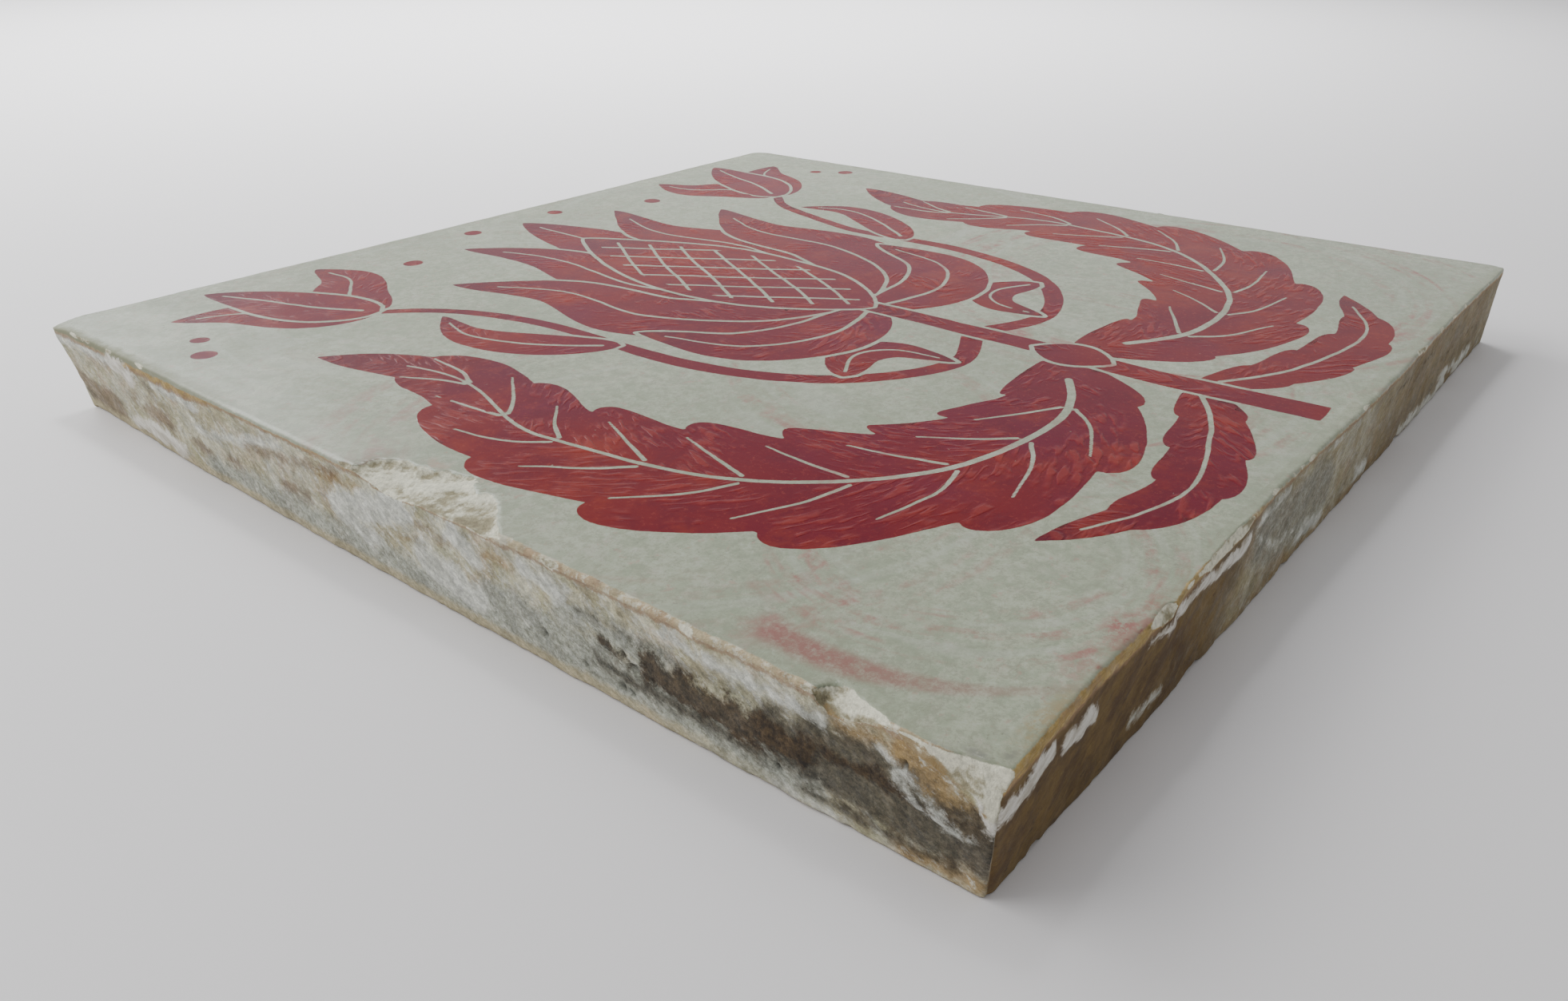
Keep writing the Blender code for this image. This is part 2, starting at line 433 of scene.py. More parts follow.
def column_sides():
    """Side number of each column; the columns of a corner belong half to either side."""
    half = ARC_COLUMNS // 2
    number = []
    for k, side in enumerate(SIDES):
        number += [k] * (SIDE_COLUMNS[side] + half) + [(k + 1) % 4] * (ARC_COLUMNS - half)
    return np.array(number)


COLUMN_SIDE = column_sides()


def from_first_corner(places, sides):
    """Distance of each place from the first corner of its side."""
    return np.where(sides % 2 == 0, places[:, 0] - LOW[0], places[:, 1] - LOW[1])


# How far the worn edge of the glaze lies inside the true square, and how far the foot spreads
FACE_WEAR = {
    "lower": [(0, 0.3), (9, 0.6), (14, 0.8), (22, 0.7), (28, 0.4), (34, 0.8), (45, 0.8), (55, 1.1),
              (63, 0.9), (78, 0.4), (96, 0.3), (120, 0.5), (148, 0.0)],
    "right": [(0, 0.2), (40, 0.1), (80, 0.0), (120, 0.2), (150, 0.4)],
    "upper": [(0, 0.1), (50, 0.4), (80, 0.5), (120, 0.3), (150, 0.2)],
    "left": [(0, 0.3), (10, 0.2), (20, 0.1), (60, 0.2), (100, 0.1), (130, 0.1), (150, 0.0)],
}
FOOT_SPREAD = {
    "lower": [(0, -0.2), (30, 0.0), (90, 0.3), (145, 0.5)],
    "right": [(0, 0.0), (75, 0.2), (150, 0.0)],
    "upper": [(0, 0.0), (75, 0.3), (150, 0.0)],
    "left": [(0, 0.1), (30, 0.4), (75, 0.5), (120, 0.2), (150, -0.8)],
}
# Rounding of the glaze's edge
EDGE_ROUNDING = {
    "lower": [(0, 1.1), (20, 1.4), (26, 1.2), (28, 0.6), (60, 0.5), (100, 0.6), (148, 0.5)],
    "right": [(0, 0.8), (150, 0.8)],
    "upper": [(0, 0.5), (150, 0.8)],
    "left": [(0, 0.6), (20, 0.55), (80, 0.6), (118, 0.7), (134, 0.8), (150, 0.8)],
}
# How far the glaze runs down the side, and the width and warmth of the ochre line below it
GLAZE_FALL = {
    "lower": [(0, -0.7), (24, -0.6), (45, -0.4), (54, 0.0), (152, 0.2)],
    "right": [(0, 0.6), (60, 0.9), (152, 0.6)],
    "upper": [(0, 0.8), (90, 0.5), (152, 0.8)],
    "left": [(0, -0.4), (18, -0.8), (54, -0.7), (80, 0.2), (105, 0.3), (112, 0.6), (130, 0.9), (152, 0.9)],
}
RIM_WIDTH = {
    "lower": [(0, 2.6), (14, 2.3), (22, 2.1), (27, 1.6), (45, 1.2), (52, 0.6), (152, 0.7)],
    "right": [(0, 0.5), (152, 0.5)],
    "upper": [(0, 0.5), (152, 0.5)],
    "left": [(0, 0.9), (18, 1.5), (54, 1.4), (82, 0.5), (104, 0.4), (112, 0.9), (128, 0.8), (134, 0.3),
             (152, 0.2)],
}
RIM_WARMTH = {
    "lower": [(0, 1.0), (27, 0.9), (45, 0.7), (52, 0.4), (152, 0.5)],
    "right": [(0, 0.4), (152, 0.4)],
    "upper": [(0, 0.4), (152, 0.4)],
    "left": [(0, 0.2), (60, 0.2), (85, 0.8), (104, 0.8), (112, 1.0), (130, 0.9), (152, 0.4)],
}
SOIL = {
    "lower": [(0, 0.25), (30, 0.15), (152, 0.2)],
    "right": [(0, 0.15), (152, 0.1)],
    "upper": [(0, 0.1), (152, 0.3)],
    "left": [(0, 0.2), (20, 0.1), (50, 0.1), (56, 0.3), (76, 0.1), (100, 0.15), (112, 0.5), (134, 0.9),
             (152, 0.9)],
}


def side_values(tables, along, sides):
    return np.choose(sides, [by_place(tables[side], along) for side in SIDES])


def outward_normals(loop):
    ahead = unit(np.roll(loop, -1, axis=0) - np.roll(loop, 1, axis=0))
    return np.column_stack([ahead[:, 1], -ahead[:, 0]])


def tile_loops():
    """The edge of the glaze, the foot, and the inner loops of the border and of the underside."""
    left, lower = LOW[:2]
    right, upper = HIGH[:2]
    box = np.array((left, right, lower, upper))
    inset = np.array((1.0, -1.0, 1.0, -1.0))
    undercut = np.array([UNDERCUT[side] for side in ("left", "right", "lower", "upper")])
    wider = {name: radius + 1.2 for name, radius in CORNER_RADIUS.items()}
    face = column_loop(box, CORNER_RADIUS)
    foot = column_loop(box + inset * undercut, CORNER_RADIUS)
    inner = column_loop(box + inset * BORDER, wider)
    under = column_loop(box + inset * (undercut + UNDER_BORDER), wider)
    along = from_first_corner(face, COLUMN_SIDE)
    outward = outward_normals(face)
    flat_face, flat_foot = flat_points(face), flat_points(foot)
    fray = 0.10 * smooth_noise(flat_face, 3.0, 21) + 0.05 * smooth_noise(flat_face, 0.9, 22)
    wear = side_values(FACE_WEAR, along, COLUMN_SIDE) + 0.1 - np.minimum(fray, 0.1)
    face = face - outward * wear[:, None]
    ragged = 0.08 * smooth_noise(flat_foot, 2.5, 23) + 0.06 * smooth_noise(flat_foot, 0.8, 24)
    spread = np.minimum(side_values(FOOT_SPREAD, along, COLUMN_SIDE) + ragged, 0.8)
    foot = foot + outward * spread[:, None]
    return face, foot, inner, under, outward


class Surface:
    """Points of the tile with their places from its edges, and the directions of those places."""

    PLACES = ("points", "sides", "inward", "down", "beneath",
              "into_face", "downward", "into_foot", "outward")

    def __init__(self, *places):
        for name, values in zip(self.PLACES, places):
            setattr(self, name, values)
        self.along = from_first_corner(self.points, self.sides)
        self.broken = np.full(len(self.points), -1.0)
        self.bed = np.zeros(len(self.points))

    def joined(self, other):
        pairs = ((getattr(self, name), getattr(other, name)) for name in self.PLACES)
        return Surface(*map(np.concatenate, pairs))

    def place(self):
        """Distance past the edge: down the side where positive, into the face where negative."""
        return self.down - self.inward

    def move(self, where, inward, down, beneath=0.0):
        """Moves points from their present places to new ones."""
        for values, way, new in ((self.inward, self.into_face, inward), (self.down, self.downward, down),
                                 (self.beneath, self.into_foot, beneath)):
            self.points[where] += way[where] * (new - values[where])[:, None]
            values[where] = new


def ring_rows(face, foot, inner, under):
    """Places down each column: inward on the face, down the side, inward on the underside."""
    columns = len(face)
    depth = np.linalg.norm(inner - face, axis=1)
    fall = np.hypot(np.linalg.norm(foot - face, axis=1), TOP)
    below = np.linalg.norm(under - foot, axis=1)
    edge = side_values(EDGE_ROUNDING, from_first_corner(face, COLUMN_SIDE), COLUMN_SIDE)
    rows = []

    def add(*places):
        rows.append([np.broadcast_to(place, columns).astype(float) for place in places])

    for share in np.linspace(0.0, 1.0, BORDER_ROWS, endpoint=False):
        add(edge + (depth - edge) * (1.0 - share), 0.0, 0.0)
    for t in np.linspace(0.0, 1.0, EDGE_ROWS, endpoint=False):
        add(edge * (1 - t) ** 2, edge * t ** 2, 0.0)
    for share in np.linspace(0.0, 1.0, SIDE_ROWS, endpoint=False):
        add(0.0, edge + (fall - FOOT_EDGE - edge) * share, 0.0)
    for t in np.linspace(0.0, 1.0, FOOT_ROWS, endpoint=False):
        add(0.0, fall - FOOT_EDGE * (1 - t) ** 2, FOOT_EDGE * t ** 2)
    for share in np.linspace(0.0, 1.0, UNDER_ROWS):
        add(0.0, fall, FOOT_EDGE + (below - FOOT_EDGE) * share ** 1.4)
    return np.array(rows)


def ring_surface(face, foot, inner, under, outward):
    """Border, sides and rim of the underside, row by row."""
    rows = ring_rows(face, foot, inner, under)
    start = np.column_stack([face, np.full(len(face), TOP)])
    end = flat_points(foot)
    into_face = flat_points(unit(inner - face))
    into_foot = flat_points(unit(under - foot))
    downward = unit(end - start)
    inward, down, beneath = rows[:, 0], rows[:, 1], rows[:, 2]
    points = (start + into_face * inward[..., None] + downward * down[..., None]
              + into_foot * beneath[..., None])
    shape = points.shape

    def spread(values):
        return np.broadcast_to(values, shape).reshape(-1, 3)

    return Surface(
        points.reshape(-1, 3), np.broadcast_to(COLUMN_SIDE, shape[:2]).ravel(),
        inward.ravel(), down.ravel(), beneath.ravel(),
        spread(into_face), spread(downward), spread(into_foot), spread(flat_points(outward)),
    )


def face_surface(xy, face):
    """Loose points of the face, with places measured from the left side's edge."""
    left = COLUMN_SIDE == SIDES.index("left")
    order = np.argsort(face[left, 1])
    edge_x = np.interp(xy[:, 1], face[left, 1][order], face[left, 0][order])
    count = len(xy)
    points = np.column_stack([xy, np.full(count, TOP)])
    lean = unit(np.array([UNDERCUT["left"], 0.0, -TOP]))
    return Surface(
        points, np.full(count, SIDES.index("left")), xy[:, 0] - edge_x, np.zeros(count), np.zeros(count),
        np.tile((1.0, 0.0, 0.0), (count, 1)), np.tile(lean, (count, 1)), np.zeros((count, 3)),
        np.zeros((count, 3)),
    )


# Chips in the edge of the glaze: (distance from the first corner, reach into the face, drop down the side)
LONG_CHIP = [
    (77.6, 0.0, 0.0), (77.0, 2.6, 0.4), (75.6, 3.9, 0.8), (73.6, 4.4, 1.1), (72.0, 4.8, 1.3),
    (69.8, 4.8, 1.4), (68.1, 5.3, 1.2), (66.6, 6.2, 0.9), (65.4, 6.7, 0.8), (63.2, 5.3, 0.8),
    (61.2, 4.5, 0.8), (59.6, 5.0, 0.6), (57.4, 3.4, 0.6), (55.6, 1.9, 0.7), (53.2, 0.0, 0.0),
]
SMALL_CHIP = [(16.8, 0.0, 0.0), (16.1, 1.9, 1.2), (15.3, 3.3, 1.6), (14.2, 2.9, 1.5), (12.8, 2.5, 1.2),
              (10.7, 1.3, 0.6), (9.6, 0.0, 0.0)]
CORNER_FLAKE = [(9.6, 0.0, 0.0), (8.4, 0.15, 0.9), (6.7, 0.15, 1.7), (5.2, 0.3, 2.3), (4.0, 0.8, 2.6),
                (2.8, 1.3, 2.6), (1.6, 1.4, 2.6), (0.4, 0.9, 2.6)]
STEPPED_CHIP = [(28.6, 0.0, 0.0), (27.9, 0.7, 1.3), (26.0, 0.6, 1.2), (24.5, 0.3, 0.8), (23.5, 0.0, 0.0)]
EDGE_FLAKE = [(48.0, 0.0, 0.0), (46.0, 0.5, 1.0), (42.0, 0.5, 1.3), (37.0, 0.3, 1.2), (33.0, 0.0, 0.0)]
# Each with its side, the height of its ridges, the depth of the step at its upper edge,
# and its paleness by the glaze and by the side
CHIPS = [
    ("left", LONG_CHIP, 0.38, 0.12, 0.18, -0.06),
    ("left", SMALL_CHIP, 0.26, 0.05, 0.40, -0.60),
    ("left", CORNER_FLAKE, 0.12, 0.05, 0.5, -0.1),
    ("lower", STEPPED_CHIP, 0.10, 0.10, -0.3, -0.1),
    ("lower", EDGE_FLAKE, 0.10, 0.10, -0.2, -0.1),
]
# Ridges of the broken beds run this way across the face, as seen from above
RIDGE_WAY = np.array([0.6355, -0.772])

# Small nicks of each edge: the side, the place where they begin, their count and the seed
NICKS = [("left", 4, 18, 101), ("lower", 28, 16, 131), ("right", 4, 12, 161), ("upper", 4, 12, 191)]
# Their last place, and the limits of their half-length, reach and drop
NICK_END = 148.0
NICK_HALF_LENGTHS = (0.5, 1.8)
NICK_REACHES = (0.15, 0.5)
NICK_DROPS = (0.2, 0.7)


def small_nicks(side, first, count, seed):
    """Little chips scattered along an edge, from some place on."""
    chance = np.random.default_rng(seed)
    nicks = []
    for _ in range(count):
        middle = chance.uniform(first, NICK_END)
        half = chance.uniform(*NICK_HALF_LENGTHS)
        reach = chance.uniform(*NICK_REACHES)
        drop = chance.uniform(*NICK_DROPS)
        table = [(middle + half, 0, 0), (middle + 0.4 * half, reach, drop),
                 (middle - 0.3 * half, reach, drop), (middle - half, 0, 0)]
        nicks.append((side, table, 0.04, 0.0, -0.1, 0.0))
    return nicks


def ridge_places(points):
    """Places drawn out along the ridges of a broken bed."""
    flat = points[:, :2]
    across = np.array([-RIDGE_WAY[1], RIDGE_WAY[0]])
    return np.column_stack([0.22 * (flat @ RIDGE_WAY), flat @ across, 0.6 * points[:, 2]])


def break_edge(surface, chip):
    """Moves the points of a chip onto its broken bed."""
    side, table, ridges, step, pale, pale_below = chip
    reach = by_place([(place, value) for place, value, _ in table], surface.along)
    drop = by_place([(place, value) for place, _, value in table], surface.along)
    place = surface.place()
    touched = np.flatnonzero((surface.sides == SIDES.index(side)) & (reach > 0.05)
                             & (place > -1.3 * reach - 1.0) & (place < 1.3 * drop + 1.0))
    place, reach, drop = place[touched], reach[touched], drop[touched]
    if ridges > 0.05:
        jag = rough_noise(surface.points[touched], 1.5, 31)
        open_part = smoothstep(0.0, 1.0, reach)
        reach = reach * (1.0 + 0.14 * jag) + 0.35 * open_part * jag
        drop = drop * (1.0 + 0.10 * jag)
    depth = np.minimum(place + reach, drop - place)
    surface.broken[touched] = np.maximum(surface.broken[touched], depth)
    deep = depth > 0.0
    inside, place, reach, drop = touched[deep], place[deep], reach[deep], drop[deep]
    t = (place + reach) / (reach + drop)
    bed = rough_noise(ridge_places(surface.points[inside]), 1.5, 35)
    bed = 0.4 * bed + 0.6 * np.sign(bed) * np.abs(bed) ** 0.45
    grit = smooth_noise(surface.points[inside], 0.5, 41)
    room = np.sqrt(np.clip(4.0 * t * (1.0 - t), 0.0, 1.0))
    uneven = 0.6 + 0.4 * smooth_noise(surface.points[inside], 2.0, 43)
    rim = step * smoothstep(0.0, 0.10, t) * (1.0 - t) * uneven
    sink = ridges * (0.5 - 0.6 * bed - 0.2 * grit) * room + rim
    surface.bed[inside] = 0.7 * bed + 0.3 * grit + pale + (pale_below - pale) * t
    surface.move(inside, reach * (1.0 - t) + 0.4 * sink * t, drop * t + np.maximum(sink, -0.1))


# Marks on the sides, by kind: (half-width, (distance from the first corner, height), ...)
MARKS = {
    "left": {
        "ochre": [
            (0.9, (77, 9.5), (84, 9.0)), (0.4, (70, 6.5), (60, 9.0), (52, 9.5)),
            (1.2, (14.8, 10.3), (10.8, 10.2)), (2.0, (9.0, 10.6), (7.0, 9.4), (4.6, 8.2), (3.2, 6.8)),
            (0.9, (6.0, 10.0), (4.4, 9.0), (3.2, 8.0)), (1.5, (8, 1.0), (2, 1.4)),
        ],
        "cement": [
            (1.8, (110, 2.4), (90, 2.4), (70, 2.4), (55, 2.8)), (2.9, (56, 3.6), (40, 3.8), (18, 3.0)),
            (1.4, (45, 7.8), (33, 7.6)),
        ],
        "stain_and_shade": [
            (1.5, (126, 5.8), (121.5, 5.2)), (1.1, (114, 4.6), (110.5, 4.4)),
            (0.9, (106, 4.7), (103.5, 4.6)), (0.9, (93, 5.3), (88, 5.2)),
            # Brown stains, except the wide mark low on the side from 138 to 150, which is painted shade.
            (2.6, (150, 4.2), (146, 3.2), (138, 2.4)), (0.6, (68, 9.2), (62.5, 8.4)),
            (0.8, (100, 8.0), (90, 9.2), (82, 10.0)),
        ],
        # Dark grime; the two wide marks from 3 to 20 are grime and painted shade together, the side
        # darkening towards the broken corner.
        "grime_and_shade": [
            (0.2, (125.4, 9.6), (123.0, 9.0)), (0.7, (18, 1.8), (4, 2.0)),
            (0.2, (43, 8.5), (30, 8.3), (18, 8.4)), (0.5, (152, 3.6), (146.5, 2.6)),
            (0.9, (41, 4.0), (22, 3.4)), (3.1, (20, 6.2), (12, 5.5), (3, 5.2)),
            (1.9, (17, 8.2), (10, 7.8), (6, 6.8)),
        ],
        "umber": [
            (1.6, (34, 6.3), (28, 6.0), (22, 5.8), (18.5, 5.7)), (0.7, (18, 6.6), (11, 6.9), (5, 6.2)),
            (0.5, (41, 6.5), (37, 5.8)),
        ],
        "plaster": [
            (0.85, (151, 10.6), (144, 10.5), (134, 10.3)), (0.95, (122, 10.4), (116, 10.2), (112, 10.1)),
            (0.55, (113, 7.2), (106, 7.4), (100, 8.6), (97, 9.8), (92, 10.3)),
            (0.35, (95.4, 6.6), (94.8, 3.4)), (1.9, (81.5, 6.2), (77, 7.4), (72, 9.4), (69.5, 10.0)),
            (1.2, (81, 5.0), (75, 4.6)), (1.5, (61.5, 9.8), (58.5, 8.2)),
            (1.8, (66.5, 5.6), (62, 4.4), (58.5, 3.8)), (1.1, (50, 10.0), (45, 9.6)),
            (0.55, (33, 10.3), (26, 10.1), (20, 9.7), (15.8, 9.6)),
            (0.35, (10.6, 9.7), (9.2, 8.6), (7.2, 8.0), (5.6, 6.6)),
            (0.3, (9.4, 7.8), (6.6, 6.2), (4.4, 5.6), (3.0, 5.4)), (0.5, (21, 0.7), (14, 0.6)),
        ],
        "lime": [
            (1.3, (133.6, 10.3), (131.0, 10.4), (129.2, 9.6)), (0.6, (3.9, 11.6), (2.2, 9.6), (1.2, 7.4)),
            (1.25, (133, 2.2), (127, 2.6), (119, 2.0)),
        ],
    },
    "lower": {
        "ochre": [
            (0.9, (2, 3.6), (1, 1.2)), (0.8, (24, 1.0), (38, 1.0), (46, 0.8), (100, 0.8), (145, 1.0)),
        ],
        "cement": [(3.8, (53, 7.6), (60, 6.4), (70, 5.4))],
        "grime_and_shade": [(1.0, (33.5, 4.6), (31.0, 6.2)), (0.6, (31.8, 9.0), (31.0, 7.8))],
        "umber": [(-0.1, (93, 9.2), (104, 9.6), (114, 9.0)), (-0.2, (120, 6.0), (132, 6.6), (142, 5.4))],
        "plaster": [
            (0.1, (50, 8.6), (56, 5.0), (66, 3.4), (72, 3.0)), (0.5, (49, 10.2), (58, 10.5)),
            (0.1, (70, 10.9), (80, 10.9)), (0.5, (24, 2.6), (29.0, 2.8)), (0.8, (64, 2.6), (72, 2.0)),
            (0.9, (84, 2.6), (88, 2.0)), (0.6, (122, 3.0), (131, 2.6)),
            (0.9, (104, 1.2), (118, 0.8), (126, 1.2)), (1.0, (132, 1.6), (140, 1.8)),
        ],
        "lime": [
            (1.2, (0.2, 7.9), (3.0, 8.0), (5.8, 8.6), (8.0, 8.8)),
            (1.0, (11.0, 8.2), (13.2, 7.9), (15.4, 8.1)), (0.45, (24.5, 10.4), (27.5, 9.8), (29.8, 9.0)),
            (0.85, (30, 10.2), (38, 9.8)), (0.8, (38, 9.6), (44, 9.2), (47, 9.4)),
        ],
    },
    "right": {
        "cement": [(2.6, (10, 3.0), (45, 2.6)), (2.4, (84, 3.0), (130, 3.2))],
        "stain_and_shade": [(1.8, (46, 7.0), (54, 6.4))],
        "grime_and_shade": [(2.0, (60, 2.0), (78, 2.4))],
        "umber": [(1.2, (90, 6.5), (97, 6.8))],
        "plaster": [
            (1.6, (20, 9.5), (34, 8.8)), (1.1, (58, 4.0), (70, 5.0), (77, 4.2)),
            (1.3, (104, 10.0), (118, 9.6)),
        ],
        "lime": [(0.6, (136, 6.2), (140, 4.8))],
    },
    "upper": {
        "ochre": [(2.0, (84, 8.0), (110, 7.4))],
        "cement": [(2.6, (24, 3.2), (70, 2.8)), (2.0, (100, 3.0), (138, 3.0))],
        "stain_and_shade": [(1.6, (44, 7.2), (52, 6.6)), (1.2, (93, 6.0), (98, 6.4))],
        "grime_and_shade": [(2.4, (4, 3.0), (14, 4.4))],
        "plaster": [
            (1.2, (14, 9.8), (30, 9.4)), (1.8, (62, 5.5), (74, 6.8), (80, 6.6)),
            (0.8, (112, 8.8), (131, 9.4)),
        ],
    },
}
MARK_MARGIN = 2.5
# How far a mark's outline wanders: this share of its half-width, or of the widest
FRAY_SHARE = 0.75
WIDEST_FRAY = 1.2
MARK_KINDS = ("ochre", "cement", "stain_and_shade", "grime_and_shade", "umber", "plaster", "lime")
MARK_RELIEF = {"plaster": 0.12, "lime": 0.16, "cement": 0.06, "umber": 0.16, "grime_and_shade": 0.06}
# Share of brown crust over the clay
CRUST = {
    "lower": [(0, 1.0), (24, 1.0), (30, 0.92), (38, 0.88), (46, 0.38), (74, 0.34), (88, 0.58), (100, 0.72),
              (138, 0.66), (152, 0.42)],
    "right": [(0, 0.5), (12, 0.2), (152, 0.15)],
    "upper": [(0, 0.1), (152, 0.25)],
    "left": [(0, 0.0), (152, 0.0)],
}
# How far the crust's limits lean along the side for each millimetre of height
CRUST_LEAN = 0.7
# Smears on each side lean by this angle from its length
SMEAR_SLANT = {"lower": 28, "right": -25, "upper": 20, "left": 32}

# Pits in the left side: (distance from the first corner, height, radius)
PITS = [
    (48.4, 3.7, 0.50), (42.8, 2.7, 0.34), (39.4, 5.6, 0.42), (37.6, 6.3, 0.40), (36.2, 5.2, 0.46),
    (35.0, 6.1, 0.34), (38.2, 2.4, 0.40), (36.9, 2.2, 0.34), (20.4, 2.6, 0.42), (8.4, 9.2, 0.30),
    (9.6, 8.7, 0.24), (34.0, 4.9, 0.36),
]


def side_marks(surface):
    """Distance of every point into the nearest mark of each kind, less than zero outside."""
    fields = {kind: np.full(len(surface.points), -MARK_MARGIN) for kind in MARK_KINDS}
    shift = np.column_stack([rough_noise(surface.points, 2.6, 51), rough_noise(surface.points, 2.6, 55)])
    for number, side in enumerate(SIDES):
        here = np.flatnonzero((surface.sides == number) & (surface.down > 0.2))
        places = np.column_stack([surface.along[here], surface.points[here, 2]])
        rows = [(kind, row) for kind, group in MARKS[side].items() for row in group]
        for kind, (half_width, *route) in rows:
            spots = places + shift[here] * min(half_width, WIDEST_FRAY) * FRAY_SHARE
            field = half_width - path_gap(spots, np.array(route, float), margin=half_width + MARK_MARGIN)
            fields[kind][here] = np.maximum(fields[kind][here], field)
    return fields


def pit_depth(surface):
    depth = np.zeros(len(surface.points))
    for place, level, radius in PITS:
        away = np.hypot(surface.along - place, surface.points[:, 2] - level) / radius
        depth = np.maximum(depth, 1.0 - smoothstep(0.35, 1.15, away))
    return np.where((surface.sides == SIDES.index("left")) & (surface.down > 0.2), depth, 0.0)


def smear_flow(surface):
    """Places along and across the smears of each side."""
    slant = np.radians(np.choose(surface.sides, [SMEAR_SLANT[side] for side in SIDES]))
    height = surface.points[:, 2]
    first = surface.along * np.cos(slant) + height * np.sin(slant)
    second = height * np.cos(slant) - surface.along * np.sin(slant)
    return np.column_stack([first, second, np.zeros(len(first))])


# Broken lower left corner: a plane through three places on the edges, measured from that corner
BREAK_ALONG_LEFT = 6.0
BREAK_ALONG_LOWER = 1.7
BREAK_DOWN = 6.8
# Lumps and grit of its bed
BREAK_LUMPS = 0.30
BREAK_GRIT = 0.32


def break_corner(surface):
    """Moves what lies outside the broken corner onto its rough bed."""
    corner = np.array([LOW[0], LOW[1], TOP])
    face = np.array([1.0 / BREAK_ALONG_LOWER, 1.0 / BREAK_ALONG_LEFT, -1.0 / BREAK_DOWN])
    size = np.linalg.norm(face)
    points = surface.points
    bed = BREAK_LUMPS * rough_noise(points, 2.4, 61) + BREAK_GRIT * rough_noise(points, 0.9, 66, 2)
    outside = (1.0 - (points - corner) @ face) / size + 0.5 * bed
    lift = np.maximum(outside, 0.0) + np.maximum(bed, 0.0) * smoothstep(0.0, 0.6, outside)
    surface.points = points + np.outer(lift, face / size)
    surface.bed = np.where(outside > 0.0, 0.2 + 2.6 * bed, surface.bed)
    surface.broken = np.maximum(surface.broken, outside)


# Chips in the foot of the lower side: (distance from the first corner, length, reach, rise)
FOOT_CHIPS = [(37.5, 6.0, 1.0, 0.8), (8.0, 3.2, 0.8, 0.9), (61.0, 5.0, 0.6, 0.7), (103.0, 6.0, 0.7, 0.6)]


def chip_foot(surface, fall):
    """Cuts small chips up into the foot of the lower side."""
    for middle, length, reach, rise in FOOT_CHIPS:
        off = (surface.along - middle) / (length / 2)
        skew = np.where(off > 0.0, off * 1.5, off)
        size = np.clip(1.0 - skew ** 2, 0.0, 1.0)
        size = np.where((surface.sides == SIDES.index("lower")) & (surface.down > 5.0), size, 0.0)
        place = surface.beneath - (fall - surface.down)
        high, deep = rise * size, reach * size
        share = (place + high) / np.maximum(high + deep, 1e-6)
        inside = np.flatnonzero((size > 0.05) & (share > 0.0) & (share < 1.0))
        lifted = fall[inside] - high[inside] * (1.0 - share[inside])
        surface.move(inside, 0.0, lifted, deep[inside] * share[inside])


# Form of the sides: the hollow near the broken corner, the swell of the others, the lumps and the
# grain of the clay, and the depth of the pits
SIDE_HOLLOW = 0.35
HOLLOW_REACH = 60.0
SIDE_SWELL = 0.18
CLAY_LUMPS = 0.10
CLAY_GRAIN = 0.05
PIT_SINK = 0.55


def shape_sides(surface, fields, pits):
    """Adds the slow form, the mortar's relief, the pits and the roughness of the clay to the sides."""
    height = np.clip(surface.points[:, 2] / TOP, 0.0, 1.0)
    hollow = -SIDE_HOLLOW * np.sin(math.pi * height ** 1.6) * np.exp(-surface.along / HOLLOW_REACH)
    swell = SIDE_SWELL * np.sin(math.pi * height)
    lift = np.choose(surface.sides, [hollow, 0.3 * swell, -swell, 0.6 * swell])
    lift = lift + CLAY_LUMPS * rough_noise(surface.points, 3.2, 71)
    lift = lift + CLAY_GRAIN * smooth_noise(surface.points, 0.9, 75)
    lumps = 1.0 + 0.5 * rough_noise(surface.points, 1.4, 81)
    for kind, thickness in MARK_RELIEF.items():
        lift = lift + thickness * smoothstep(-0.3, 0.5, fields[kind]) * lumps
    lift = lift - PIT_SINK * pits
    on_side = smoothstep(0.3, 1.2, surface.down) * (1.0 - smoothstep(0.0, 0.4, surface.beneath))
    solid = 1.0 - smoothstep(-0.4, 0.0, surface.broken)
    surface.points = surface.points + surface.outward * (lift * on_side * solid)[:, None]


# Dip of the face: its slow waves, the skin of the glaze, and the worn upper left corner
FACE_WAVES = 0.05
FACE_SKIN = 0.012
WORN_DIP = 0.7
WORN_ALONG_UPPER = 5.0
WORN_ALONG_LEFT = 7.0


def dip_of_face(points):
    """How far the glaze lies below the flat of the face."""
    flat = points * (1.0, 1.0, 0.0)
    slow = FACE_WAVES * (1.0 + smooth_noise(flat, 26.0, 91))
    skin = FACE_SKIN * (1.0 + smooth_noise(flat, 4.0, 92))
    from_left, from_upper = points[:, 0] - LOW[0], HIGH[1] - points[:, 1]
    worn = np.clip(1.0 - from_left / WORN_ALONG_UPPER - from_upper / WORN_ALONG_LEFT, 0.0, 1.0)
    return slow + skin + WORN_DIP * worn ** 1.5


